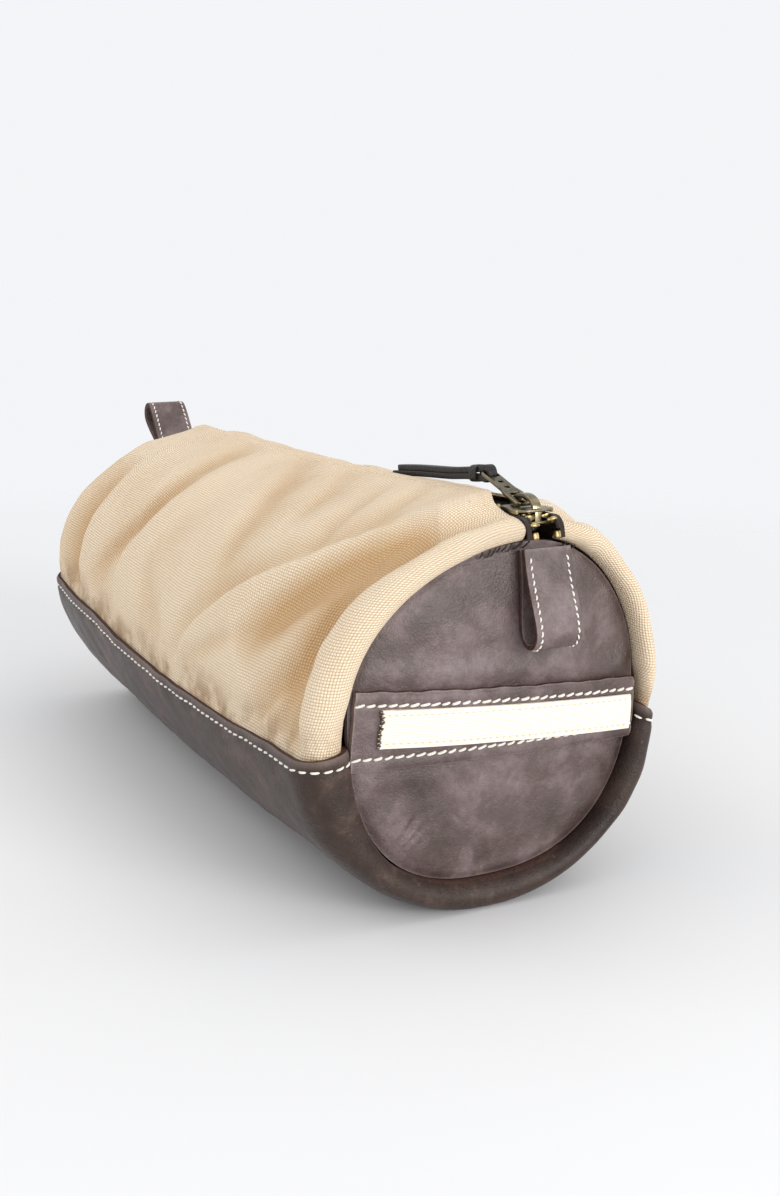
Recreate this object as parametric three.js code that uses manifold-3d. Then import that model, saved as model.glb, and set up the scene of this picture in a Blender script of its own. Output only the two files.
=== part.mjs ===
// A barrel-shaped shaving kit bag: a leather trough and two canvas panels sewn to two round
// leather ends, closed by a metal zipper along the ridge. Millimetres, +Z up, long axis along X,
// front side towards -Y. The right end (+X) is where the zipper is when it is closed.
import * as THREE from "three";
import { mergeVertices } from "three/addons/utils/BufferGeometryUtils.js";
import Module from "manifold-3d";

const wasm = await Module();
wasm.setup();

// Body
const BODY_LENGTH = 305; // over the rolled rims
const HALF_WIDTH = 72;
const BACK_NARROWER = 3; // the back is this much nearer to the middle than the front
const LEFT_SCALE = 0.93; // width of the left end as a share of the right end's
const MIDDLE_BULGE = 2.5;
const RIDGE_RIGHT = 144; // height of the ridge at the two rims, before the dip
const RIDGE_LEFT = 129.5;
const RIDGE_RISE = 1.75; // power of the rise from left to right
const RIDGE_DIP = 5; // the ridge drops by this much to meet the slider at the right end
const DIP_START = 124; // x where that drop starts
const DIP_LENGTH = 20;
const RIDGE_BACK_RIGHT = 16.5; // the ridge lies this far behind the middle
const RIDGE_BACK_LEFT = 14;
const SEAM_HEIGHT = 63; // top edge of the leather at the rims
const SEAM_SAG = 6; // how much lower that edge is in the middle
const FLOOR_FLAT = 2; // the rounded bottom is flattened by this much where it rests
// how full the quarters of an outline are, 2 being an ellipse: top front, top back, low front, low back
const BODY_FULLNESS = [2.05, 2.1, 1.87, 2];

// Rolled rim between the body and the recessed end panel
const RIM_FRONT = 6; // from the end panel's edge out to the crest
const RIM_BACK = 11; // from the crest back to the straight part of the body
const RIM_TUCK = 4; // how far the rim runs in behind the front of the end panel
const PANEL_FRONT = 54; // from the middle to the panel's front and back edges
const PANEL_BACK = 60;
const PANEL_TOP_RIGHT = 129.5;
const PANEL_TOP_LEFT = 118.5;
const PANEL_BOTTOM = 10;
const PANEL_WIDEST = 76;
const PANEL_FULLNESS = [2, 1.95, 2.5, 2.4];
const PANEL_BULGE = 5;
const PANEL_MIDDLE = 72; // height of the middle of the bulge
const SEAM_TURN = 0.1; // turns the panel's outline so that the side seams stay level, in radians

// Sheets
const LEATHER = 2.2;
const CANVAS = 0.9;
const GAP = 0.3; // between pieces that touch
const CANVAS_INSET = 0.5;
const OVERLAP = 9; // how far the canvas runs down inside the leather's edge
const FLAP_OPENING = 4.6; // from the ridge to the canvas edges, which overhang the zipper
const SLIDER_OPENING = 8; // the same where the slider rests
const OPENING_X = [112, 128]; // the opening widens between these two

// Bands on the end panels
// lowest and highest z, at the front end and at the back end
const BAND_FRONT = [57, 84.5];
const BAND_BACK = [54.5, 76.5];
const WEBBING_FRONT = [65, 78.2];
const WEBBING_BACK = [58, 70.5];
const BAND_MARGIN = 2.7; // from the panel's edge at both ends
const WEBBING_THICK = 1.2;
const WEBBING_START = 10; // from the front end of the band
const WEBBING_STOP = 3; // from its back end

// Zipper: the chain is straight under the canvas edges, and bends down over the right rim
const CHAIN_X = [-141, 147]; // ends of the straight stretch
const CHAIN_HEIGHT = 137; // where the slider rests
const CHAIN_SLOPE = 0.06;
const BEND_RADIUS = 5;
const BEND_TURN = 75; // degrees
const BEND_TAIL = 3; // straight stretch beyond the bend
const TAPE = 0.7;
const TAPE_NARROW = 7.4; // half width beside the slider
const TAPE_WIDE = 10.5; // half width under the canvas edges
const TAPE_GAP = 1; // between the tape and the cord of the teeth
const TOOTH_PITCH = 3.8;
const TOOTH_WIDTH = 1.5;
const TOOTH_THICK = 2.4;
const TOOTH_TIP = -0.6; // how far each tooth reaches over the middle of the chain
const CORD_IN = 2.2; // the cord that the teeth sit on, from its inner to its outer side
const CORD_OUT = 3;
const CORD_THICK = 1.6;
const ROW_SPREAD = 2.6; // how far the slider's post pushes each row aside
const STOP_LENGTH = 2.4;
const CURVE_STEP = 3; // between sections of a tape or cord on the bend, and on the straight
const STRAIGHT_STEP = 30;
const CURVED_RUN = 48; // from the right end, where the short steps are used

// Slider, puller and thong
const SLIDER_X = 139.5;
const SLIDER_LENGTH = 17;
const NOSE_HALF = 7.4;
const TAIL_HALF = 4.7;
const PLATE = 0.9;
const PLATE_IN = TOOTH_THICK / 2 + 0.4;
const PLATE_OUT = PLATE_IN + PLATE;
const LIP = 1;
const LIP_IN = TAPE / 2 + 2 * GAP;
const POST_HALF = 1.25;
const POST_LENGTH = 5;
const CROWN_WIDTH = 3.4;
const CROWN_OUT = [7.4, 4.5]; // half length and height of the crown's outside
const CROWN_IN = [6, 3.2];
const PULLER_AXLE = 1.1; // height of the puller's axle bar above the slider's top plate
const PULLER_THICK = 1.4;
const PULLER_LENGTH = 26;
const PULLER_HALF = [3.7, 2.9]; // half width at the crown and at the thong
const EYE_HALF = 2.1;
const EYE = [0.7, 8]; // the hole round the crown, from the axle
const SLOT = [21.2, 24.6]; // the hole for the thong
const SLOT_HALF = 2.2;
const PULLER_HOLES = [12.5, 17];
const PULLER_HOLE_RADIUS = 1;
const PULLER_LIFT = 18.5; // degrees above the chain
const THONG_LENGTH = 70;
const THONG_WIDTH = 3.6;
const THONG_LEAF = 1.7;
const THONG_EYE = 1.25; // radius of the eye round the puller's end bar
const THONG_DROOP = 4.5; // degrees below the line of the chain

// Tab loops
const TAB_WIDTH = 19;
const TAB_LENGTH = 34;
const TAB_LEATHER = 2;
const TAB_BELLY = 11.5; // thickness of the loop over its round end
// turn is in degrees outwards from hanging straight down, and rootOut is from the panel
const TAB_RIGHT = { name: "right", side: 1, y: 17.5, z: 127.3, turn: 13, rootOut: 3.3, stub: 0.1 };
const TAB_LEFT = { name: "left", side: -1, y: 0.5, z: 115, turn: 131, rootOut: 6, stub: 3 };

const half = BODY_LENGTH / 2;
const lerp = (a, b, t) => a + (b - a) * t;
const smooth = (t) => THREE.MathUtils.smoothstep(t, 0, 1);
const radians = THREE.MathUtils.degToRad;

// ---------------------------------------------------------------- surface of the bag

const alongBody = (x) => (x + half) / BODY_LENGTH; // 0 at the left end, 1 at the right end
const ridgeBack = (x) => lerp(RIDGE_BACK_LEFT, RIDGE_BACK_RIGHT, alongBody(x));

// A point [y, z] of a round outline made of four quarter curves; angle 0 is the back, a quarter
// turn is the top and a half turn is the front.
function outlinePoint(o, angle) {
  const c = Math.cos(angle);
  const s = Math.sin(angle);
  const top = s > 0;
  const front = c < 0;
  const power = 2 / o.fullness[(top ? 0 : 2) + (front ? 0 : 1)];
  const middle = top ? o.offset : 0;
  const reach = front ? o.front + middle : o.back - middle;
  const rise = top ? o.top - o.widest : o.widest - o.bottom;
  const y = middle + reach * Math.sign(c) * Math.abs(c) ** power;
  const z = o.widest + rise * Math.sign(s) * Math.abs(s) ** power;
  return [y, z];
}

// Outline of the body at x, from -half to half.
function bodyOutline(x) {
  const along = alongBody(x);
  const inner = 1 - (x / half) ** 2;
  const width = HALF_WIDTH * lerp(LEFT_SCALE, 1, along) + MIDDLE_BULGE * inner;
  const dip = RIDGE_DIP * smooth((x - DIP_START) / DIP_LENGTH);
  return {
    front: width,
    back: width - BACK_NARROWER,
    top: lerp(RIDGE_LEFT, RIDGE_RIGHT, Math.max(along, 0) ** RIDGE_RISE) - dip,
    bottom: -FLOOR_FLAT,
    widest: SEAM_HEIGHT - SEAM_SAG * inner,
    offset: ridgeBack(x),
    fullness: BODY_FULLNESS,
  };
}

// Outline of an end panel: side is 1 at the right end and -1 at the left end.
function panelOutline(side) {
  const scale = side > 0 ? 1 : LEFT_SCALE;
  return {
    front: PANEL_FRONT * scale,
    back: PANEL_BACK * scale,
    top: side > 0 ? PANEL_TOP_RIGHT : PANEL_TOP_LEFT,
    bottom: PANEL_BOTTOM,
    widest: PANEL_WIDEST,
    offset: ridgeBack(side * half),
    fullness: PANEL_FULLNESS,
  };
}

const panelPoint = (side, angle) => outlinePoint(panelOutline(side), angle - SEAM_TURN * Math.cos(angle));

// A point of the bag's outer surface. Place 0 to 1 runs over the right rim, from the end panel
// to the body, 1 to 2 along the body and 2 to 3 over the left rim.
function surfacePoint(place, angle) {
  const side = place < 1.5 ? 1 : -1;
  const roll = Math.min(place, 3 - place); // below 1 on a rim
  if (roll >= 1) {
    const x = lerp(half - RIM_BACK, RIM_BACK - half, place - 1);
    const [y, z] = outlinePoint(bodyOutline(x), angle);
    return new THREE.Vector3(x, y, z);
  }
  const turn = Math.PI * Math.max(roll, 0);
  const share = (1 - Math.cos(turn)) / 2;
  const depth = (turn < Math.PI / 2 ? RIM_FRONT : RIM_BACK) * (1 - Math.sin(turn));
  const tuck = roll < 0 ? -roll * RIM_TUCK : 0;
  const x = side * (half - depth - tuck);
  const panel = panelPoint(side, angle);
  const body = outlinePoint(bodyOutline(x), angle);
  return new THREE.Vector3(x, lerp(panel[0], body[0], share), lerp(panel[1], body[1], share));
}

// The outward normal of that surface.
function surfaceNormal(place, angle) {
  const step = 1e-3;
  const along = surfacePoint(place + step, angle).sub(surfacePoint(place - step, angle));
  const around = surfacePoint(place, angle + step).sub(surfacePoint(place, angle - step));
  return along.cross(around).normalize();
}

// A point below the surface, never under the surface that the bag stands on.
function below(place, angle, depth) {
  const point = surfacePoint(place, angle).addScaledVector(surfaceNormal(place, angle), -depth);
  point.z = Math.max(point.z, Math.min(Math.max(depth, 0), LEATHER));
  return point;
}

// ---------------------------------------------------------------- mesh helpers

// Moves each vertex of a geometry to the point that place() gives for it.
function warp(geometry, place) {
  const position = geometry.attributes.position;
  const point = new THREE.Vector3();
  for (let i = 0; i < position.count; i++) {
    point.copy(place(position.getX(i), position.getY(i), position.getZ(i)));
    position.setXYZ(i, point.x, point.y, point.z);
  }
  geometry.computeVertexNormals();
  return geometry;
}

function solidOf(geometry) {
  const bare = geometry.clone();
  bare.deleteAttribute("normal");
  bare.deleteAttribute("uv");
  const merged = mergeVertices(bare, 1e-4);
  const index = merged.index.array;
  return new wasm.Manifold(
    new wasm.Mesh({
      numProp: 3,
      vertProperties: new Float32Array(merged.attributes.position.array),
      triVerts: new Uint32Array(index),
    }),
  );
}

function geometryOf(solid) {
  const mesh = solid.getMesh();
  const geometry = new THREE.BufferGeometry();
  geometry.setAttribute("position", new THREE.BufferAttribute(mesh.vertProperties, 3));
  geometry.setIndex(new THREE.BufferAttribute(mesh.triVerts, 1));
  geometry.computeVertexNormals();
  return geometry;
}

// One solid from several that overlap.
const join = (first, ...rest) => geometryOf(rest.reduce((sum, g) => sum.add(solidOf(g)), solidOf(first)));

const materials = {
  leather: new THREE.MeshStandardMaterial({ color: 0x6b5a58, roughness: 0.55, metalness: 0 }),
  canvas: new THREE.MeshStandardMaterial({ color: 0xddc5a6, roughness: 0.95, metalness: 0 }),
  webbing: new THREE.MeshStandardMaterial({ color: 0xf7efe4, roughness: 0.9, metalness: 0 }),
  tape: new THREE.MeshStandardMaterial({ color: 0x2b241f, roughness: 0.9, metalness: 0 }),
  brass: new THREE.MeshStandardMaterial({ color: 0x8a7446, roughness: 0.35, metalness: 1 }),
  thong: new THREE.MeshStandardMaterial({ color: 0x322c27, roughness: 0.6, metalness: 0 }),
};

function piece(name, geometry, material) {
  const mesh = new THREE.Mesh(geometry, material);
  mesh.name = name;
  return mesh;
}

// ---------------------------------------------------------------- sewn sheets

// Stations along the bag: over the right rim, along the body, closer together where the opening
// widens, and over the left rim.
const bodyPlace = (x) => 1 + (half - RIM_BACK - x) / (2 * (half - RIM_BACK));
const BODY_STATIONS = [134, 128, 122, 116, 110, 80, 45, 10, -30, -70, -110].map(bodyPlace);
const RIM_STEPS = 6;

function sheetStations(ends) {
  const right = [];
  for (let i = 0; i <= RIM_STEPS; i++) right.push(lerp(ends, 1, i / RIM_STEPS));
  return [...right, ...BODY_STATIONS, ...right.map((place) => 3 - place).reverse()];
}

// A closed sheet over part of the surface. fromAngle and toAngle are functions of the place,
// and inset is a function of the share of the way from one edge to the other.
function sheet({ rows, fromAngle, toAngle, inset, thick, ends }) {
  const stations = sheetStations(ends);
  const count = stations.length - 1;
  const box = new THREE.BoxGeometry(1, 1, 1, count, rows, 1);
  return warp(box, (u, v, w) => {
    const place = stations[Math.round((u + 0.5) * count)];
    const across = v + 0.5;
    const angle = lerp(fromAngle(place), toAngle(place), across);
    return below(place, angle, inset(across) + (0.5 - w) * thick);
  });
}

const TUCKED = -0.5; // sheets reach in behind the edge of the end panel

function bottomPanel() {
  return sheet({
    rows: 20,
    fromAngle: () => Math.PI,
    toAngle: () => 2 * Math.PI,
    inset: () => 0,
    thick: LEATHER,
    ends: TUCKED,
  });
}

// The angle at which a line beside the ridge runs, a distance to the front of it (or behind it).
function besideRidge(place, distance) {
  const towards = Math.sign(distance);
  const ridge = surfacePoint(place, Math.PI / 2).y;
  let low = 0;
  let high = 1.2;
  for (let i = 0; i < 30; i++) {
    const middle = (low + high) / 2;
    const y = surfacePoint(place, Math.PI / 2 + towards * middle).y;
    if (Math.abs(y - ridge) < Math.abs(distance)) low = middle;
    else high = middle;
  }
  return Math.PI / 2 + (towards * (low + high)) / 2;
}

// From the ridge to the edge of the canvas at a place.
function opening(place) {
  if (place < 1) return SLIDER_OPENING;
  const x = surfacePoint(place, Math.PI / 2).x;
  return lerp(FLAP_OPENING, SLIDER_OPENING, smooth((x - OPENING_X[0]) / (OPENING_X[1] - OPENING_X[0])));
}

// The canvas lies under the leather's edge, and comes up to the surface above it.
const CANVAS_RISE = [0.09, 0.25]; // from the lower edge, as shares of the panel's height

function canvasPanel(front) {
  const under = OVERLAP / SEAM_HEIGHT;
  const edge = (place) => besideRidge(place, (front ? 1 : -1) * opening(place));
  return sheet({
    rows: 14,
    fromAngle: front ? edge : () => -under,
    toAngle: front ? () => Math.PI + under : edge,
    inset: (across) => {
      const up = ((front ? 1 - across : across) - CANVAS_RISE[0]) / (CANVAS_RISE[1] - CANVAS_RISE[0]);
      return lerp(LEATHER + GAP, CANVAS_INSET, smooth(up));
    },
    thick: CANVAS,
    ends: TUCKED,
  });
}

// ---------------------------------------------------------------- end panels

const panelFace = half - RIM_FRONT; // x of the end panel's edge, on its outside

// How far the panel bulges at a share of the way from its middle to its edge.
const panelBulge = (share, angle) => PANEL_BULGE * (1 - share ** 2) * (0.75 + 0.25 * share * Math.sin(angle));

// The panel's edge at an angle seen from the middle of its bulge, just inside the rim.
function panelEdge(side, angle) {
  const outline = panelOutline(side);
  const [y, z] = panelPoint(side, angle);
  const inside = 1 - 1.4 * GAP / outline.front;
  return [y * inside, (z - PANEL_MIDDLE) * inside];
}

// A point in front of an end panel: share is 0 at its middle and 1 at its edge.
function panelSurface(side, share, angle, out) {
  const [y, z] = panelEdge(side, angle);
  const x = panelFace + panelBulge(share, angle) + out;
  return new THREE.Vector3(side * x, y * share, PANEL_MIDDLE + z * share);
}

// How far out a point of an end panel is, 1 being its edge.
function panelShare(side, y, z) {
  const angle = Math.atan2(z - PANEL_MIDDLE, y);
  const [edgeY, edgeZ] = panelEdge(side, angle);
  return Math.hypot(y, z - PANEL_MIDDLE) / Math.hypot(edgeY, edgeZ);
}

// The panel's surface at a given y and z.
function panelSurfaceAt(side, y, z, out) {
  const bulge = panelBulge(panelShare(side, y, z), Math.atan2(z - PANEL_MIDDLE, y));
  return new THREE.Vector3(side * (panelFace + bulge + out), y, z);
}

const PANEL_RINGS = 4;
const PANEL_SIDES = 40;

function endPanel(side) {
  const profile = [];
  for (let i = 0; i <= PANEL_RINGS; i++) profile.push(new THREE.Vector2(i / PANEL_RINGS, -1));
  for (let i = PANEL_RINGS; i >= 0; i--) profile.push(new THREE.Vector2(i / PANEL_RINGS, 1));
  const disc = new THREE.LatheGeometry(profile, PANEL_SIDES);
  return warp(disc, (a, h, b) => {
    const share = Math.hypot(a, b);
    const angle = Math.atan2(b, -side * a);
    return panelSurface(side, share, angle, h > 0 ? 0 : -LEATHER);
  });
}

// How far the panel reaches from the middle plane at a height: towards is -1 to the front, 1 to the back.
function panelReach(side, z, towards) {
  let low = 0;
  let high = HALF_WIDTH;
  for (let i = 0; i < 30; i++) {
    const y = (low + high) / 2;
    if (panelShare(side, towards * y, z) < 1) low = y;
    else high = y;
  }
  return low;
}

// A strip across an end panel, lying a distance off its face. frontZ and backZ are its lowest and
// highest z at its front end and its back end.
function strip({ side, frontZ, backZ, lift, thick, frontMargin, backMargin }) {
  const box = new THREE.BoxGeometry(1, 1, 1, 12, 2, 1);
  return warp(box, (u, v, w) => {
    const along = side > 0 ? u + 0.5 : 0.5 - u;
    const z = lerp(lerp(frontZ[0], backZ[0], along), lerp(frontZ[1], backZ[1], along), v + 0.5);
    const frontEdge = -panelReach(side, z, -1) + frontMargin;
    const backEdge = panelReach(side, z, 1) - backMargin;
    return panelSurfaceAt(side, lerp(frontEdge, backEdge, along), z, lift + (w + 0.5) * thick);
  });
}

function endBand(side) {
  return strip({
    side,
    frontZ: BAND_FRONT,
    backZ: BAND_BACK,
    lift: GAP,
    thick: LEATHER,
    frontMargin: BAND_MARGIN,
    backMargin: BAND_MARGIN,
  });
}

function webbingStrip(side) {
  return strip({
    side,
    frontZ: WEBBING_FRONT,
    backZ: WEBBING_BACK,
    lift: GAP + LEATHER + GAP,
    thick: WEBBING_THICK,
    frontMargin: WEBBING_START,
    backMargin: WEBBING_STOP,
  });
}

// ---------------------------------------------------------------- zipper

// The middle line of the chain, with the way out of the bag and the distance run along it. It
// starts below the bend over the right rim.
const yaw = Math.atan((RIDGE_BACK_RIGHT - RIDGE_BACK_LEFT) / BODY_LENGTH);
const pitch = Math.atan(CHAIN_SLOPE);
const chain = [];

function addToChain(x, z, turn) {
  const point = new THREE.Vector3(x, ridgeBack(x), z);
  const out = new THREE.Vector3(Math.sin(turn), 0, Math.cos(turn));
  const last = chain[chain.length - 1];
  chain.push({ point, out, run: last ? last.run + point.distanceTo(last.point) : 0 });
}

const chainHeight = (x) => CHAIN_HEIGHT + CHAIN_SLOPE * (x - SLIDER_X);
const bendEnd = radians(BEND_TURN);
const onBend = (turn) => [
  CHAIN_X[1] + BEND_RADIUS * (Math.sin(turn) + Math.sin(pitch)),
  chainHeight(CHAIN_X[1]) - BEND_RADIUS * (Math.cos(pitch) - Math.cos(turn)),
];
const [endX, endZ] = onBend(bendEnd);
addToChain(endX + BEND_TAIL * Math.cos(bendEnd), endZ - BEND_TAIL * Math.sin(bendEnd), bendEnd);
const BEND_STEPS = 16;
for (let i = 0; i <= BEND_STEPS; i++) {
  const turn = lerp(bendEnd, -pitch, i / BEND_STEPS);
  addToChain(...onBend(turn), turn);
}
addToChain(CHAIN_X[0], chainHeight(CHAIN_X[0]), -pitch);
const chainLength = chain[chain.length - 1].run;

// The frame of the chain at a distance along it.
function chainFrame(run) {
  const found = chain.findIndex((c) => c.run >= run);
  const i = found < 0 ? chain.length - 1 : Math.max(found, 1);
  const a = chain[i - 1];
  const b = chain[i];
  const t = (run - a.run) / (b.run - a.run);
  return { point: a.point.clone().lerp(b.point, t), out: a.out.clone().lerp(b.out, t).normalize() };
}

// A point beside the chain: run along it, across it towards the front, and out of it.
function chainPoint(run, across, out) {
  const frame = chainFrame(run);
  const point = frame.point.addScaledVector(frame.out, out);
  point.x += across * Math.sin(yaw);
  point.y -= across * Math.cos(yaw);
  return point;
}

// How far each row stands aside: closed behind the slider, open from its post to the right end.
function spread(run) {
  const x = chainFrame(run).point.x;
  const tail = SLIDER_X - SLIDER_LENGTH / 2;
  const post = SLIDER_X + SLIDER_LENGTH / 2 - POST_LENGTH - 1;
  return ROW_SPREAD * smooth((x - tail) / (post - tail));
}

// Distances along the chain from one run to another: short steps near the right end.
function runsBetween(from, to) {
  const runs = [];
  for (let run = from; run < CURVED_RUN; run += CURVE_STEP) runs.push(run);
  for (let run = CURVED_RUN; run < to - 1; run += STRAIGHT_STEP) runs.push(run);
  return [...runs, to];
}

// A band along the chain; inner and outer give its sides at each run.
function alongChain({ from, to, front, inner, outer, thick }) {
  const runs = runsBetween(from, to);
  const sign = front ? 1 : -1;
  const box = new THREE.BoxGeometry(1, 1, 1, runs.length - 1, 1, 1);
  return warp(box, (u, v, w) => {
    const run = runs[Math.round((u + 0.5) * (runs.length - 1))];
    const across = lerp(inner(run), outer(run), front ? v + 0.5 : 0.5 - v);
    return chainPoint(run, sign * across, w * thick);
  });
}

function zipperTape(front) {
  const width = (run) => {
    const x = chainFrame(run).point.x;
    return lerp(TAPE_WIDE, TAPE_NARROW, smooth((x - OPENING_X[0]) / (OPENING_X[1] - OPENING_X[0])));
  };
  return alongChain({
    from: 0,
    to: chainLength,
    front,
    inner: (run) => CORD_OUT + TAPE_GAP + spread(run),
    outer: width,
    thick: TAPE,
  });
}

// A block on the chain, with its middle at run and its sides at two distances from the middle line.
function chainBlock({ run, length, sides, thick, front = true }) {
  const [low, high] = front ? sides : [-sides[1], -sides[0]];
  const box = new THREE.BoxGeometry(length, high - low, thick);
  return warp(box, (u, v, w) => chainPoint(run + u, v + (low + high) / 2, w));
}

const chainMargin = STOP_LENGTH + 3 * GAP; // from the ends of the chain to the rows of teeth

function zipperTeeth(front) {
  const cord = alongChain({
    from: chainMargin,
    to: chainLength - chainMargin,
    front,
    inner: (run) => spread(run) + CORD_IN,
    outer: (run) => spread(run) + CORD_OUT,
    thick: CORD_THICK,
  });
  const teeth = [];
  const first = chainMargin + TOOTH_WIDTH + (front ? 0 : TOOTH_PITCH / 2);
  for (let run = first; run < chainLength - chainMargin - TOOTH_WIDTH; run += TOOTH_PITCH) {
    const sides = [spread(run) + TOOTH_TIP, spread(run) + (CORD_IN + CORD_OUT) / 2];
    teeth.push(chainBlock({ run, length: TOOTH_WIDTH, sides, thick: TOOTH_THICK, front }));
  }
  return join(cord, ...teeth);
}

function topStop(front) {
  const sides = [ROW_SPREAD + 0.6, ROW_SPREAD + CORD_OUT];
  return chainBlock({ run: STOP_LENGTH / 2, length: STOP_LENGTH, sides, thick: TOOTH_THICK, front });
}

function bottomStop() {
  const run = chainLength - STOP_LENGTH / 2;
  return chainBlock({ run, length: STOP_LENGTH, sides: [-CORD_OUT, CORD_OUT], thick: TOOTH_THICK + 2 * GAP });
}

// ---------------------------------------------------------------- slider and pull

// A flat shape made into a plate of a given thickness, centred on its plane.
function extrude(shape, depth, curveSegments = 6) {
  const plate = new THREE.ExtrudeGeometry(shape, { depth, bevelEnabled: false, curveSegments });
  return plate.translate(0, 0, -depth / 2);
}

const polygon = (points) => new THREE.Shape(points.map(([x, y]) => new THREE.Vector2(x, y)));

// Slider pieces are drawn with +X towards the nose and +Z out of the bag.
function sliderBody() {
  const tail = -SLIDER_LENGTH / 2;
  const nose = SLIDER_LENGTH / 2;
  const waist = nose - POST_LENGTH - 1;
  const corner = 2;
  const edge = [[tail, TAIL_HALF], [waist, NOSE_HALF], [nose - corner, NOSE_HALF]];
  const outside = [...edge, [nose, NOSE_HALF - corner]];
  const plateShape = polygon([...outside.map(([x, y]) => [x, -y]).reverse(), ...outside]);
  const plateMiddle = (PLATE_IN + PLATE_OUT) / 2;
  const plates = [1, -1].map((side) => extrude(plateShape, PLATE).translate(0, 0, side * plateMiddle));
  const inner = edge.map(([x, y]) => [x, y - LIP]).reverse();
  const height = PLATE_OUT - LIP_IN - PLATE / 4;
  const lips = [];
  for (const side of [1, -1]) {
    for (const face of [1, -1]) {
      const lip = polygon([...edge, ...inner].map(([x, y]) => [x, side * y]));
      lips.push(extrude(lip, height).translate(0, 0, face * (LIP_IN + height / 2)));
    }
  }
  const postEnd = nose - 0.4;
  const widest = nose - POST_LENGTH / 2;
  const block = [[widest, -POST_HALF], [postEnd, -POST_HALF], [postEnd, POST_HALF], [widest, POST_HALF]];
  const post = extrude(polygon([[nose - POST_LENGTH, 0], ...block]), 2 * PLATE_OUT - PLATE / 2);
  return join(plates[0], plates[1], post, ...lips);
}

// A low arch over the slider, which holds the puller.
function sliderCrown() {
  const arch = new THREE.Shape();
  arch.absellipse(0, 0, CROWN_OUT[0], CROWN_OUT[1], 0, Math.PI, false, 0);
  arch.absellipse(0, 0, CROWN_IN[0], CROWN_IN[1], Math.PI, 0, true, 0);
  return extrude(arch, CROWN_WIDTH, 12).rotateX(Math.PI / 2).translate(0, 0, PLATE_OUT + GAP);
}

// Drawn flat with its axle at the origin and its length along +X.
function puller() {
  const [wide, narrow] = PULLER_HALF;
  const back = -0.7;
  const corner = 1.1;
  const neck = [EYE[1] + 0.5, EYE[1] + 4];
  const side = [
    [back, wide - corner],
    [back + corner, wide],
    [neck[0], wide],
    [neck[1], narrow],
    [PULLER_LENGTH - corner, narrow],
    [PULLER_LENGTH, narrow - corner],
  ];
  const shape = polygon([...side.map(([x, y]) => [x, -y]), ...side.reverse()]);
  const rectangle = (x0, x1, y) => {
    return new THREE.Path(polygon([[x0, -y], [x0, y], [x1, y], [x1, -y]]).getPoints());
  };
  shape.holes.push(rectangle(EYE[0], EYE[1], EYE_HALF), rectangle(SLOT[0], SLOT[1], SLOT_HALF));
  for (const x of PULLER_HOLES) {
    const hole = new THREE.Path();
    hole.absarc(x, 0, PULLER_HOLE_RADIUS, 0, 2 * Math.PI, true);
    shape.holes.push(hole);
  }
  return extrude(shape, PULLER_THICK);
}

// A strap doubled round the puller's end bar and laid back on itself, with the bar at the origin
// and its length along +X. Its eye runs along Y.
function pullThong() {
  const turn = THONG_EYE + THONG_LEAF; // half its thickness at the eye
  const flat = THONG_LEAF + 0.5; // half its thickness further on
  const tip = 0.9;
  const taper = THONG_LENGTH * 0.6; // where it starts to thin towards its tip
  const closed = 8; // where its two leaves meet
  const outside = new THREE.Shape();
  outside.moveTo(0, -turn);
  outside.quadraticCurveTo(closed, -flat, taper, -flat);
  outside.lineTo(THONG_LENGTH, -tip);
  outside.lineTo(THONG_LENGTH, tip);
  outside.lineTo(taper, flat);
  outside.quadraticCurveTo(closed, flat, 0, turn);
  outside.absarc(0, 0, turn, Math.PI / 2, (3 * Math.PI) / 2, false);
  const eye = new THREE.Path();
  eye.absarc(0, 0, THONG_EYE, 0, 2 * Math.PI, true);
  outside.holes.push(eye);
  return extrude(outside, THONG_WIDTH).rotateX(Math.PI / 2);
}

// ---------------------------------------------------------------- tab loops

// A strap folded on itself: drawn hanging from the origin along -Z, with its loop opening along Y.
// stub is how far it runs on above the origin.
function tabLoop(stub) {
  const root = TAB_LEATHER + 0.2;
  const belly = TAB_BELLY / 2;
  const gap = belly - TAB_LEATHER;
  const gapTop = 9; // below the origin
  const shoulders = [TAB_LENGTH * 0.4, TAB_LENGTH * 0.6];
  const round = belly - TAB_LENGTH;
  const outside = new THREE.Shape();
  outside.moveTo(-root, stub);
  outside.lineTo(-root, 0);
  outside.bezierCurveTo(-root, -shoulders[0], -belly, -shoulders[1], -belly, round);
  outside.absarc(0, round, belly, Math.PI, 2 * Math.PI, false);
  outside.bezierCurveTo(belly, -shoulders[1], root, -shoulders[0], root, 0);
  outside.lineTo(root, stub);
  const inside = new THREE.Path();
  inside.moveTo(0, -gapTop);
  inside.bezierCurveTo(gap * 0.6, -TAB_LENGTH * 0.45, gap, -shoulders[1], gap, round);
  inside.absarc(0, round, gap, 0, -Math.PI, true);
  inside.bezierCurveTo(-gap, -shoulders[1], -gap * 0.6, -TAB_LENGTH * 0.45, 0, -gapTop);
  outside.holes.push(inside);
  return extrude(outside, TAB_WIDTH, 8).rotateX(Math.PI / 2);
}

// ---------------------------------------------------------------- assembly

const bag = new THREE.Group();

// A group at a position, turned about Y and then about Z, which holds the mesh.
function placed(mesh, position, turnY = 0, turnZ = 0) {
  const holder = new THREE.Group();
  holder.position.copy(position);
  holder.rotation.set(0, turnY, turnZ, "ZYX");
  holder.add(mesh);
  return holder;
}

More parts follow.
